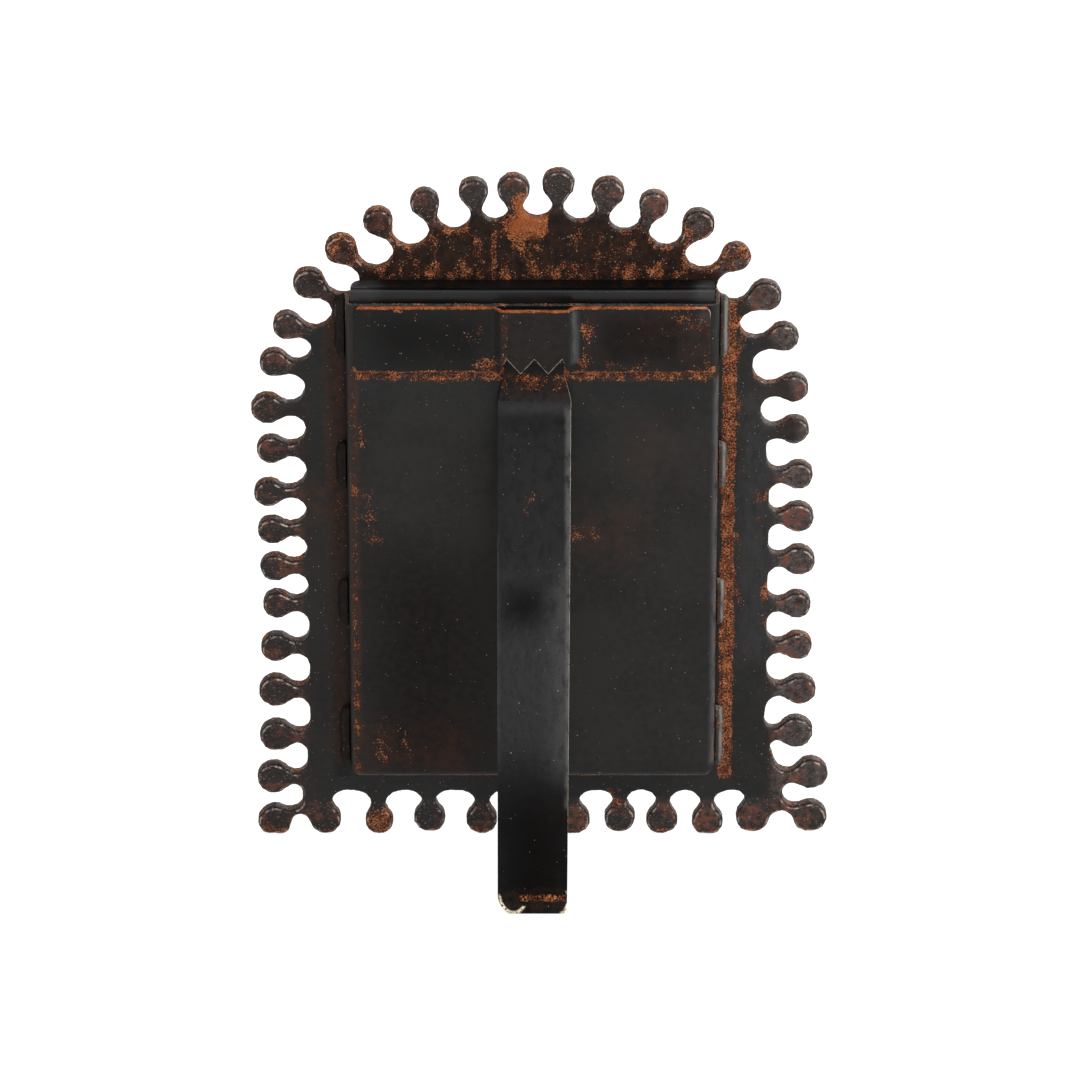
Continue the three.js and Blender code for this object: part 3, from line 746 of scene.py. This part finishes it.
class Patina(Recipe):
    """Charcoal patina in layers: ground, dark places that are partly painted shade, brown clouds, wear and
    painted highlights, rust, pits, pale flecks and bare metal.

    The choices that are lists hold patches, each given as x, z, soft and strength.
    """

    def __init__(self, name, seed, **choices):
        super().__init__(name)
        self.seed = seed
        self.choices = {**PLAIN_PATINA, **choices}
        self.mottle = self.cloud("mottle")

    def cloud(self, name, stretch=(1, 1, 1)):
        """One of the NOISES."""
        step, size, detail = NOISES[name]
        return self.noise(size, self.seed + step, detail, stretch)

    def spots(self, name, stretch=(1, 1, 1)):
        """One of the SPOTS, 1 inside them and 0 outside."""
        step, size, detail, start, full = SPOTS[name]
        return self.ramp(self.noise(size, self.seed + step, detail, stretch), start, full)

    def masks(self, choice):
        """The patches of one of the choices."""
        return self.patches(self.choices[choice])

    def build(self):
        self.dark = self.masks("dark")
        brown = self.brown_share()
        colour = self.weathered(self.blend(brown, self.ground(), BROWN))
        amount = self.rust_amount()
        rust = self.ramp(amount, *RUST_LEVELS)
        colour = self.blend(rust, colour, self.rust_colour(amount))
        pits = self.pit_share(rust, amount)
        colour = self.blend(pits, colour, PIT_AND_SHADE_BLACK)
        colour = self.blend(self.fleck_share(amount), colour, FLECK)
        bare = self.bare_share()
        dull = self.most(rust, self.times(brown, BROWN_DULLNESS))
        roughness = self.blend_number(dull, self.choices["sheen"], RUST_ROUGHNESS)
        gloss = self.choices["gloss"]
        self.surface(
            Base_Color=self.blend(bare, colour, self.choices["metal"]),
            Metallic=self.times(bare, BARE_METALNESS),
            Roughness=self.blend_number(bare, roughness, BARE_ROUGHNESS),
            Specular_IOR_Level=self.blend_number(self.dark, gloss, gloss * DARK_GLOSS),
            Normal=self.bump(self.relief(rust, pits), RELIEF_DEPTH, RELIEF_STRENGTH),
        )
        return self.material

    def ground(self):
        clouds = self.plus(self.cloud("clouds"), self.times(self.mottle, MOTTLE_SHARE))
        colour = self.blend(self.ramp(clouds, *TONE_LEVELS), *self.choices["tones"])
        return self.blend(self.dark, colour, PIT_AND_SHADE_BLACK)

    def brown_share(self):
        clouds = self.times(self.spots("brown"), self.choices["browning"])
        share = self.most(clouds, self.brown_mask())
        return self.times(share, self.ramp(self.mottle, *BROWN_MOTTLE))

    def brown_mask(self):
        return self.masks("brown")

    def weathered(self, colour):
        """Adds a thin film of rust, and grey where paint is worn and where a highlight is painted."""
        if self.choices["film"]:
            film = self.times(self.masks("film"), self.spots("film"))
            colour = self.blend(film, colour, RUST_DEEP)
        if self.choices["wear_and_highlight"]:
            wear_and_highlight = self.times(self.masks("wear_and_highlight"), self.spots("wear_and_highlight", WEAR_AND_HIGHLIGHT_STRETCH))
            colour = self.blend(wear_and_highlight, colour, self.choices["wear_and_highlight_tone"])
        return colour

    def rust_mask(self):
        return self.masks("rust")

    def rust_amount(self):
        """How rusty each point is: its places' mask, broken up by clumps and fine grains."""
        clumps = self.cloud("rust_clumps", (1, 1, self.choices["streak"]))
        clumps = self.times(self.minus(clumps, NOISE_MIDDLE), self.choices["clumping"])
        grains = self.minus(self.cloud("rust_grains"), NOISE_MIDDLE)
        grains = self.times(grains, self.choices["graining"])
        return self.plus(self.rust_mask(), clumps, grains)

    def rust_colour(self, amount):
        """Orange rust in fine grains and wider shades. Where it is thick, it is deeper and more even."""
        tone = self.plus(self.times(self.cloud("rust_shade"), RUST_SHADE_SHARE), self.cloud("rust_tone"))
        grains = self.blend(self.ramp(tone, *RUST_TONES), RUST_DEEP, RUST_BRIGHT)
        thick = self.times(self.ramp(amount, *THICK_RUST), THICK_SHARE)
        return self.blend(thick, grains, RUST_THICK)

    def pit_share(self, rust, amount):
        """Dark grains where the rust is thin, and black pits everywhere."""
        broken = self.times(rust, self.ramp(amount, *THIN_RUST))
        return self.most(self.times(self.spots("dark_grains"), broken), self.spots("pits"))

    def fleck_share(self, amount):
        """Pale flecks, with more of them near the rust."""
        near_rust = self.times(self.ramp(amount, *FLECKED_RUST), FLECKED_SHARE)
        grit = self.plus(near_rust, self.cloud("grit"))
        return self.ramp(grit, self.choices["flecks"], self.choices["flecks"] + FLECK_SOFT)

    def bare_share(self):
        """Bare metal on the chosen edges."""
        share = self.times(self.attribute("edge"), self.masks("bare_edges"))
        return self.maths("MULTIPLY", share, self.spots("bare"), clamp=True)

    def relief(self, rust, pits):
        grains = self.times(rust, self.cloud("rust_tone"), RUST_RELIEF)
        height = self.plus(grains, self.times(self.mottle, MOTTLE_RELIEF))
        return self.minus(height, self.times(pits, PIT_RELIEF))


class LegPatina(Patina):
    """The leg's patina, with its toe's corners scraped to bare metal."""

    def bare_share(self):
        scrapes = [self.times(self.arc(*oval), self.patch(x, z, TOE_SOFT)) for oval, x, z in TOE_SCRAPES]
        scraped_and_lit = self.times(self.most(*scrapes), self.spots("toe"))
        return self.most(super().bare_share(), scraped_and_lit)


class CastPatina(Patina):
    """The casting's patina. Its knobs and walls are worn and partly lightened by painted light, its rims
    carry a painted highlight and a dark outline of painted shade, and its patches stay on its back.
    """

    def __init__(self, name, seed, **choices):
        super().__init__(name, seed, **choices)
        self.rim = self.attribute("rim")
        self.knob = self.attribute("knob")
        self.behind = self.ramp(self.y, *BACK_DEPTHS)
        self.wall = self.times(self.ramp(self.y, *WALL_BACK), self.ramp(self.y, *WALL_FRONT))

    def masks(self, choice):
        return self.times(super().masks(choice), self.behind)

    def ground(self):
        """The plain patina with worn knobs: most on the rusty strip's side, where the extra lightness is
        painted light, and less along the bottom.
        """
        top = self.times(self.ramp(self.z, *WORN_TOP), TOP_WEAR)
        lit_and_worn = self.most(self.ramp(self.x, *LIT_AND_WORN_SIDE), top)
        strength = self.blend_number(lit_and_worn, *KNOB_WEAR_AND_LIGHT)
        strength = self.times(strength, self.varied(self.z, LESS_WORN_BOTTOM, BOTTOM_WEAR))
        grain = self.blend_number(self.spots("knob_grain"), *GRAIN_WEAR)
        patchy = self.times(self.spots("knob_wear"), grain)
        return self.blend(self.times(self.knob, patchy, strength), super().ground(), KNOB_WORN)

    def brown_mask(self):
        return self.most(super().brown_mask(), self.times(self.wall, WALL_BROWN))

    def weathered(self, colour):
        """Adds rusty knobs, scraped walls with painted highlights that are lighter on the lit side, and a
        dark outline of painted shade round each knob.
        """
        colour = self.blend(self.knob_rust(), super().weathered(colour), KNOB_RUST)
        # Scraped walls that also stand in for painted highlights, with more of them on the lit side
        scraped_and_lit = self.times(self.wall, self.spots("wall_wear"), self.varied(self.x, WORN_SIDE, WALL_SCRAPE_AND_LIGHT))
        colour = self.blend(scraped_and_lit, colour, WALL_SCRAPE_AND_HIGHLIGHT)
        # Painted shade: a dark outline where the knobs' edges turn away
        outline = self.times(self.ramp(self.rim, *OUTLINE_RIM), self.ramp(self.y, *OUTLINE_DEPTHS))
        return self.blend(self.times(outline, self.knob, OUTLINE_DARK), colour, PIT_AND_SHADE_BLACK)

    def knob_rust(self):
        """Thin rust on the knobs, more on some of them than on others."""
        clouds = self.plus(self.cloud("knob_rust"), self.cloud("each_knob"))
        share = self.varied(self.x, WORN_SIDE, KNOB_RUST_SHARE)
        return self.times(self.knob, self.ramp(clouds, *KNOB_RUST_LEVELS), share)

    def rust_mask(self):
        rim = self.times(self.ramp(self.rim, *RUSTY_RIM), self.blend_number(self.knob, *RIM_RUST))
        wall = self.times(self.wall, self.varied(self.x, RUSTY_SIDE, WALL_RUST))
        return self.plus(rim, wall, self.times(self.knob, KNOB_RUSTINESS), super().rust_mask())

    def bare_share(self):
        """A painted highlight: a bright line of bare metal just inside the knobs' rims. Also scratches on
        the knobs.
        """
        line = self.times(self.ramp(self.rim, *CREST_INSIDE), self.ramp(self.rim, *CREST_OUTSIDE))
        line = self.times(line, self.ramp(self.y, *CREST_DEPTHS), self.ramp(self.knob, *CREST_KNOB))
        crest = self.times(line, CREST_SHARE, self.spots("crest"))
        scratches = self.times(self.spots("scratches", SCRATCH_STRETCH), self.knob, SCRATCH_SHARE)
        return self.most(crest, scratches)


def casting_material():
    """The plate: rusty over the housing, in a strip left of it and along the bottom."""
    rust = [
        ((-62, 62), (HOUSING_TOP + 4, 204), 8, 0.36),
        ((-44, 44), (HOUSING_TOP + 3, 194), 5, 0.44),
        ((11.8, 13.8), (HOUSING_TOP + 3, 203), 1, 0.58),
        ((0.8, 7.0), (202, 214), 5, 1.5),
        ((-2, 9.5), (200, 208), 5, 1.5),
        ((-2, 10), (195, 202), 6, 0.52),
        ((LEFT_WALL - 5.4, LEFT_WALL - 1.2), (HOUSING_BOTTOM - 5, HOUSING_TOP - 2), 2.0, 0.95),
        ((LEFT_WALL - 7.5, LEFT_WALL - 1.2), (80, HOUSING_TOP - 2), 4, 0.38),
        ((LEFT_WALL - 7.6, LEFT_WALL - 5), (112.5, 117), 2.5, 0.55),
        ((-66.4, -62.6), (107, 118), 2.5, 0.50),
        ((-67.0, -64.0), (80, 87), 2.5, 0.50),
        ((-67.0, -65.0), (72, 77), 2, 0.45),
        ((RIGHT_WALL, RIGHT_WALL + 6), (HOUSING_BOTTOM, HOUSING_TOP), 2.0, 0.15),
        ((43, 52), (0, 9), 3, 0.70),
        ((-25, -19.5), (10, 17), 3, 0.55),
        ((-90, 90), (-2, 2.4), 2, 0.46),
    ]
    brown = [
        ((RIGHT_WALL, RIGHT_WALL + 7), (HOUSING_BOTTOM, HOUSING_TOP), 2.5, 0.75),
        ((-80, 80), (HOUSING_TOP - 8, 230), 12, 0.60),
        ((-90, -66), (-5, 150), 5, 0.45),
        ((66, 90), (-5, 150), 5, 0.45),
    ]
    film = [
        ((RIGHT_WALL + 0.5, RIGHT_WALL + 6), (95, HOUSING_TOP), 3, 0.34),
        ((RIGHT_WALL + 0.5, RIGHT_WALL + 5), (HOUSING_BOTTOM, 95), 3, 0.16),
        ((RIGHT_WALL + 2, 71), (107, 121), 8, 0.26),
        ((-76, -62), (140, HOUSING_TOP), 8, 0.14),
        (HOUSING_SIDES, (HOUSING_TOP + 3, 205), 8, 0.18),
    ]
    dark = [
        ((-66, 66), (HOUSING_TOP, 210), 8, 0.8),
        # A painted shadow of the housing on the plate beside its right wall
        ((RIGHT_WALL, RIGHT_WALL + 5), (20, HOUSING_TOP), 3, 0.4),
    ]
    return CastPatina(
        "casting_patina",
        1.0,
        rust=rust,
        brown=brown,
        dark=dark,
        film=film,
        wear_and_highlight=[((-68, -58), (60, 150), 7, 0.20)],
        metal=RIM_HIGHLIGHT_AND_SCRATCH,
        sheen=0.5,
        streak=1.6,
        clumping=2.0,
        graining=1.2,
        flecks=0.785,
    ).build()


def housing_material():
    """The housing: rusty below the strap and along its edges, with a painted highlight along the bend of
    its left edge, a worn bottom edge and painted shade over its lower right part.
    """
    rust = [
        ((LEFT_WALL + 1, RIGHT_WALL - 2), (STRAP_BOTTOM - 3.8, STRAP_BOTTOM + 0.5), 2.0, 0.60),
        ((LEFT_WALL + 1, RIGHT_WALL - 2), (STRAP_BOTTOM - 0.9, STRAP_BOTTOM + 1), 0.5, 1.4),
        ((LEFT_WALL - 1, RIGHT_WALL + 1), (HOUSING_TOP - 0.5, HOUSING_TOP + 1), 0.4, 0.42),
        ((RIGHT_WALL - 3.0, RIGHT_WALL - 0.8), (HOUSING_BOTTOM, 75), 1.0, 0.44),
        ((RIGHT_WALL - 3.0, RIGHT_WALL - 0.8), (75, STRAP_BOTTOM), 1.0, 0.36),
        ((LEFT_WALL - 0.5, LEFT_WALL + 0.3), (HOUSING_BOTTOM, STRAP_BOTTOM), 0.5, 0.56),
        ((-18, -8.5), (105, 111), 5, 0.50),
        ((46, 52), (104, 124), 5, 0.38),
        ((50.5, 52), (136, 146), 1.5, 0.46),
        ((36, 52), (30, 46), 9, 0.34),
        ((LEFT_WALL, RIGHT_WALL), (HOUSING_BOTTOM - 1, HOUSING_BOTTOM + 1.0), 0.6, 0.55),
    ]
    brown = [
        ((RIGHT_WALL - 3.4, RIGHT_WALL - 0.9), (HOUSING_BOTTOM, HOUSING_TOP), 1.5, 0.8),
        ((10, RIGHT_WALL), (30, 140), 40, 0.22),
        ((LEFT_WALL, -15), (HOUSING_BOTTOM, 130), 30, 0.24),
    ]
    bare_edges = [
        (HOUSING_SIDES, (HOUSING_TOP - 2, HOUSING_TOP + 1), 0.5, 0.12),
        (HOUSING_SIDES, (HOUSING_BOTTOM - 1, HOUSING_BOTTOM + 1), 0.5, 0.8),
    ]
    film = [
        ((RIGHT_WALL - 3.6, RIGHT_WALL - 0.8), (HOUSING_BOTTOM, STRAP_BOTTOM), 1.4, 0.30),
        ((-30, -8), (100, 116), 12, 0.26),
        ((-46, -24), (126, 146), 14, 0.12),
        ((20, 54), (26, 44), 14, 0.22),
    ]
    return Patina(
        "housing_patina",
        11.0,
        rust=rust,
        brown=brown,
        bare_edges=bare_edges,
        film=film,
        # Painted shade: the lower right part is darker, as on the side away from the light
        dark=[((14, 50), (26, 100), 34, 0.7)],
        wear_and_highlight=[
            # A painted highlight along the bend of the left edge, then grey wear along the bottom edge
            ((LEFT_WALL - 1, LEFT_WALL + 1.1), (30, STRAP_BOTTOM - 3), 2.2, 0.85),
            ((LEFT_WALL, RIGHT_WALL), (HOUSING_BOTTOM - 1, HOUSING_BOTTOM + 0.9), 0.7, 0.7),
        ],
        browning=0.28,
        flecks=0.83,
    ).build()


def strap_material():
    """The strap: rusty in spots and along both edges, with bare teeth, a bare corner and painted
    highlights on the pocket's left side, the strap's left end and its corner.
    """
    rust = [
        ((11.5, 18.5), (STRAP_BOTTOM, 167.5), 5, 0.60),
        ((14, 22), (172.5, 179), 5, 0.34),
        ((8.8, 11), (STRAP_BOTTOM, STRAP_TOP), 1.2, 0.40),
        ((-15.5, -11.5), (STRAP_BOTTOM, 180), 4, 0.54),
        ((-32, -18), (STRAP_BOTTOM, 166), 4, 0.40),
        ((LEFT_WALL, -36), (174, STRAP_TOP), 6, 0.36),
        ((LEFT_WALL, -46), (STRAP_BOTTOM, 170), 5, 0.42),
        ((LEFT_WALL, RIGHT_WALL), (STRAP_TOP - 0.6, STRAP_TOP + 1), 0.5, 1.35),
        ((LEFT_WALL, RIGHT_WALL), (STRAP_BOTTOM - 1, STRAP_BOTTOM + 0.6), 0.6, 0.60),
        ((38.6, 41.6), (181.4, STRAP_TOP), 1.2, 0.9),
    ]
    brown = [
        ((POCKET_MIDDLE - POCKET_HALF, POCKET_MIDDLE + POCKET_HALF), (STRAP_BOTTOM, STRAP_TOP), 3, 0.3),
        ((8.8, 11), (STRAP_BOTTOM, STRAP_TOP), 1, 0.8),
        ((LEFT_WALL, -30), (170, STRAP_TOP), 12, 0.4),
    ]
    teeth = ((POCKET_MIDDLE - 8.6, POCKET_MIDDLE + 8.6), (STRAP_BOTTOM - 1, STRAP_BOTTOM + 5.4), 0.3, 1.0)
    # Bare metal at the left top corner, which also stands in for its highlight
    corner = ((LEFT_WALL, LEFT_WALL + 7), (STRAP_TOP - 3, STRAP_TOP + 1), 2, 0.7)
    # Painted highlights: along the pocket's sloping left side, down the strap's left end and on its corner
    wear_and_highlight = [
        ((-11.3, -9.3), (STRAP_BOTTOM + 3, STRAP_TOP - 1), 1.6, 0.75),
        ((LEFT_WALL - 1, LEFT_WALL + 1.2), (STRAP_BOTTOM, STRAP_TOP - 1), 2.0, 0.7),
        ((LEFT_WALL + 2, LEFT_WALL + 6), (STRAP_TOP - 5, STRAP_TOP - 1), 3, 0.3),
    ]
    film = [
        ((LEFT_WALL, -40), (STRAP_BOTTOM, STRAP_TOP), 6, 0.16),
        ((-40, -12), (STRAP_BOTTOM, STRAP_TOP), 6, 0.08),
    ]
    return Patina(
        "strap_patina",
        21.0,
        rust=rust,
        brown=brown,
        bare_edges=[teeth, corner],
        film=film,
        dark=[((-40, -18), (166, 180), 8, 0.6), ((18, 46), (166, 180), 12, 0.5)],
        wear_and_highlight=wear_and_highlight,
        tones=(STRAP_DARK, STRAP_LIGHT),
        browning=0.28,
        gloss=0.16,
        flecks=0.83,
    ).build()


def leg_material():
    """The leg: nearly black at its lower end through painted shade, and bright along its left edge through
    bare metal, a painted highlight and a painted sheen.
    """
    rust = [
        (LEG_SIDES, (156, STRAP_BOTTOM), 4, 0.48),
        ((1.0, 5.0), (126, 131), 2, 0.40),
        ((-7.0, -4.0), (127, 130.5), 1.5, 0.40),
        ((6, 9), (136, 142), 3, 0.36),
        ((-8, 6), (23.2, 25.6), 1.5, 0.56),
        ((4, 11), (22.4, 24.4), 1.5, 0.40),
    ]
    brown = [
        (LEG_SIDES, (153, STRAP_BOTTOM), 5, 0.5),
        ((-8, 11), (20, 27), 4, 0.5),
    ]
    # Bare metal along the left edge, which also serves as its painted highlight, and a little on the right
    # edge and the toe
    left_edge = ((-12, -5), (45, STRAP_BOTTOM), 20, 2.2)
    right_edge = ((8, 14), (70, 120), 6, 0.35)
    toe = (LEG_SIDES, (LEG_FOOT - 3, LEG_FOOT + 6), 2, 0.9)
    # A painted highlight along the left edge and a painted sheen over the left half; faint grey along the
    # right edge and the upper part
    wear_and_highlight = [
        ((-12, -7.6), (50, 152), 2.0, 1.0),
        ((-16, -4.5), (59, 114), 12, 0.42),
        ((11.2, 14), (60, 122), 1.4, 0.16),
        (LEG_SIDES, (108, 150), 14, 0.08),
    ]
    # Painted shade that makes the lower end nearly black, and a dark blotch above the middle
    dark = [
        (LEG_SIDES, (LEG_FOOT - 8, 58), 26, 1.0),
        ((-1.5, 10), (99, 108.5), 10, 0.95),
    ]
    return LegPatina(
        "leg_patina",
        31.0,
        rust=rust,
        brown=brown,
        bare_edges=[left_edge, right_edge, toe],
        film=[(LEG_SIDES, (157, STRAP_BOTTOM), 3, 0.20)],
        dark=dark,
        wear_and_highlight=wear_and_highlight,
        tones=(LEG_DARK, LEG_LIGHT),
        metal=STEEL_WEAR_AND_HIGHLIGHT,
        browning=0.12,
        sheen=0.30,
        gloss=0.10,
        flecks=0.84,
    ).build()


def weld_material():
    """Weld beads: rusty, with a painted highlight in grey along the ridge of those on the left, and
    painted shade on those on the right.
    """
    rust = [
        (WELD_OUTSIDE, WELD_HEIGHTS, 0.8, 0.62),
        (WELD_INSIDE, WELD_HEIGHTS, 0.4, 0.30),
        (RIGHT_WELDS, WELD_HEIGHTS, 1, 0.08),
    ]
    return Patina(
        "weld_patina",
        41.0,
        rust=rust,
        brown=[(ALL_WELDS, WELD_HEIGHTS, 1, 0.4)],
        bare_edges=[(LEFT_WELDS, WELD_HEIGHTS, 1, 1.0)],
        # Painted shade on the right welds
        dark=[(RIGHT_WELDS, WELD_HEIGHTS, 1, 0.85)],
        # Painted highlight along the ridge of the left welds
        wear_and_highlight=[(WELD_RIDGE, WELD_HEIGHTS, 0.7, 1.0)],
        tones=(BEAD_DARK, BEAD_BROWN),
        wear_and_highlight_tone=BEAD_GREY,
    ).build()


def tray_material():
    """Black paint with smudges, a painted reflection on the lip's ends and chipped ends."""
    recipe = Recipe("tray_black")
    smudge = recipe.noise(*TRAY_SMUDGES)
    ends = recipe.patches([((49, 60), (100, 200), 2, 1.0), ((-60, -48), (100, 200), 2, 1.0)])
    chips = recipe.ramp(recipe.noise(*TRAY_CHIPS), *CHIP_LEVELS)
    bare = recipe.times(recipe.attribute("edge"), chips, ends)
    # Painted reflection: a soft grey patch at each end of the lip
    lip_ends = recipe.patches([((-51, -44), (184, 194), 5, 0.35), ((46, 54), (184, 194), 5, 0.2)])
    painted_reflection = recipe.times(lip_ends, recipe.ramp(smudge, *REFLECTION_LEVELS))
    paint = recipe.blend(smudge, TRAY_BLACK, CHARCOAL_DARK)
    paint = recipe.blend(painted_reflection, paint, GREY_WEAR_AND_HIGHLIGHT)
    recipe.surface(
        Base_Color=recipe.blend(bare, paint, BARE_METAL),
        Metallic=recipe.times(bare, TRAY_METALNESS),
        Roughness=recipe.varied(smudge, SMUDGE_LEVELS, TRAY_SHEEN),
        Specular_IOR_Level=0.28,
        Normal=recipe.bump(recipe.noise(*TRAY_GRAIN), *TRAY_RELIEF),
    )
    return recipe.material


def glass_material():
    recipe = Recipe("clear_glass")
    haze = recipe.ramp(recipe.noise(*GLASS_HAZE), *HAZE_LEVELS)
    recipe.surface(
        Base_Color=GLASS_TINT,
        Roughness=recipe.times(haze, HAZE_ROUGHNESS),
        Transmission_Weight=1.0,
        IOR=GLASS_IOR,
    )
    return recipe.material


def card_material():
    recipe = Recipe("card_stock")
    fibre = recipe.noise(*CARD_FIBRE)
    recipe.surface(
        Base_Color=recipe.blend(recipe.ramp(fibre, *CARD_LEVELS), CARD_CREAM, CARD_SHADE),
        Roughness=0.9,
        Specular_IOR_Level=0.2,
        Normal=recipe.bump(fibre, *CARD_RELIEF),
    )
    return recipe.material


def board_material():
    recipe = Recipe("backing_fibre")
    fibre = recipe.noise(*BOARD_FIBRE)
    recipe.surface(
        Base_Color=recipe.blend(recipe.ramp(fibre, *BOARD_LEVELS), BOARD_BROWN, BOARD_FLECK),
        Roughness=0.92,
        Specular_IOR_Level=0.15,
        Normal=recipe.bump(fibre, *BOARD_RELIEF),
    )
    return recipe.material


# Pieces


def dress_frame():
    finish_piece(casting_mesh(), "frame_casting", "frame", casting_material())
    housing = bevelled_mesh("housing", "back_housing", SHEET_ROUND)
    finish_piece(housing, "back_housing", "frame", housing_material())
    strap = bevelled_mesh("strap", "hanger_strap", SHEET_ROUND)
    finish_piece(strap, "hanger_strap", "frame", strap_material())
    leg = bevelled_mesh("leg", "easel_leg", LEG_ROUND)
    finish_piece(leg, "easel_leg", "leg", leg_material())
    tray = bevelled_mesh("tray", "slide_tray", TRAY_ROUND)
    finish_piece(tray, "slide_tray", "tray", tray_material())
    weld = weld_material()
    names = [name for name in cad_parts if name.startswith("weld_")]
    for seed, node in enumerate(sorted(names)):
        finish_piece(weld_mesh(node, seed), node, "frame", weld)


def dress_cad_nodes():
    finishes = {
        "glass_pane": glass_material(),
        "insert_card": card_material(),
        "backing_board": board_material(),
    }
    for node, material in finishes.items():
        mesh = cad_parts[node].data
        for index in range(len(mesh.materials)):
            mesh.materials[index] = material


# Stage


def area_lamp(name, direction, distance, size, level):
    """A square soft lamp. Its level is how bright it makes a white surface that faces it."""
    data = bpy.data.lights.new(name, "AREA")
    data.size = size
    data.energy = level * math.pi**2 * distance**2
    lamp = bpy.data.objects.new(name, data)
    towards = Vector(direction).normalized()
    lamp.location = Vector(LAMPS_MIDDLE) + towards * distance
    lamp.rotation_euler = towards.to_track_quat("Z", "Y").to_euler()
    bpy.context.scene.collection.objects.link(lamp)


def lamps():
    for name, settings in LAMPS.items():
        area_lamp(name, *settings)


def seen_directly(nodes, links):
    """1 for rays from the camera and for those that metal and glass send on."""
    path = nodes.new("ShaderNodeLightPath")
    total = path.outputs["Is Camera Ray"]
    for name in ("Is Glossy Ray", "Is Transmission Ray"):
        both = nodes.new("ShaderNodeMath")
        both.operation = "MAXIMUM"
        links.new(total, both.inputs[0])
        links.new(path.outputs[name], both.inputs[1])
        total = both.outputs[0]
    return total


def white_world():
    world = bpy.data.worlds.new("studio")
    world.use_nodes = True
    nodes, links = world.node_tree.nodes, world.node_tree.links
    background = nodes["Background"]
    background.inputs["Color"].default_value = (1, 1, 1, 1)
    strength = nodes.new("ShaderNodeMapRange")
    strength.inputs["To Min"].default_value = WORLD_LIGHT
    strength.inputs["To Max"].default_value = WORLD_SEEN
    links.new(seen_directly(nodes, links), strength.inputs["Value"])
    links.new(strength.outputs[0], background.inputs["Strength"])
    bpy.context.scene.world = world


def white_floor():
    """A pale floor that looks white where it is lit and keeps a faint shadow."""
    bpy.ops.mesh.primitive_plane_add(size=FLOOR_SIZE, location=(0, 0, 0))
    floor = bpy.context.object
    floor.name = "studio_floor"
    material = bpy.data.materials.new("studio_white")
    material.use_nodes = True
    nodes, links = material.node_tree.nodes, material.node_tree.links
    shader = nodes["Principled BSDF"]
    shader.inputs["Base Color"].default_value = (FLOOR_GREY, FLOOR_GREY, FLOOR_GREY, 1)
    shader.inputs["Roughness"].default_value = 1.0
    shader.inputs["Specular IOR Level"].default_value = 0.0
    shader.inputs["Emission Color"].default_value = (1, 1, 1, 1)
    glow = nodes.new("ShaderNodeMath")
    glow.operation = "MULTIPLY"
    glow.inputs[1].default_value = FLOOR_GLOW
    links.new(seen_directly(nodes, links), glow.inputs[0])
    links.new(glow.outputs[0], shader.inputs["Emission Strength"])
    floor.data.materials.append(material)


def camera():
    data = bpy.data.cameras.new("photo_camera")
    data.sensor_width = CAMERA_SENSOR
    data.lens = CAMERA_FOCAL
    data.clip_end = CAMERA_CLIP
    view = bpy.data.objects.new("photo_camera", data)
    back = Vector((0, math.cos(CAMERA_RISE), math.sin(CAMERA_RISE)))
    view.location = PLATE @ (Vector(CAMERA_AIM) * MM) + back * CAMERA_DISTANCE * MM
    view.rotation_euler = back.to_track_quat("Z", "Y").to_euler()
    bpy.context.scene.collection.objects.link(view)
    bpy.context.scene.camera = view


camera()
lamps()
white_world()
white_floor()
dress_frame()
dress_cad_nodes()
bpy.context.scene.view_settings.view_transform = "Standard"
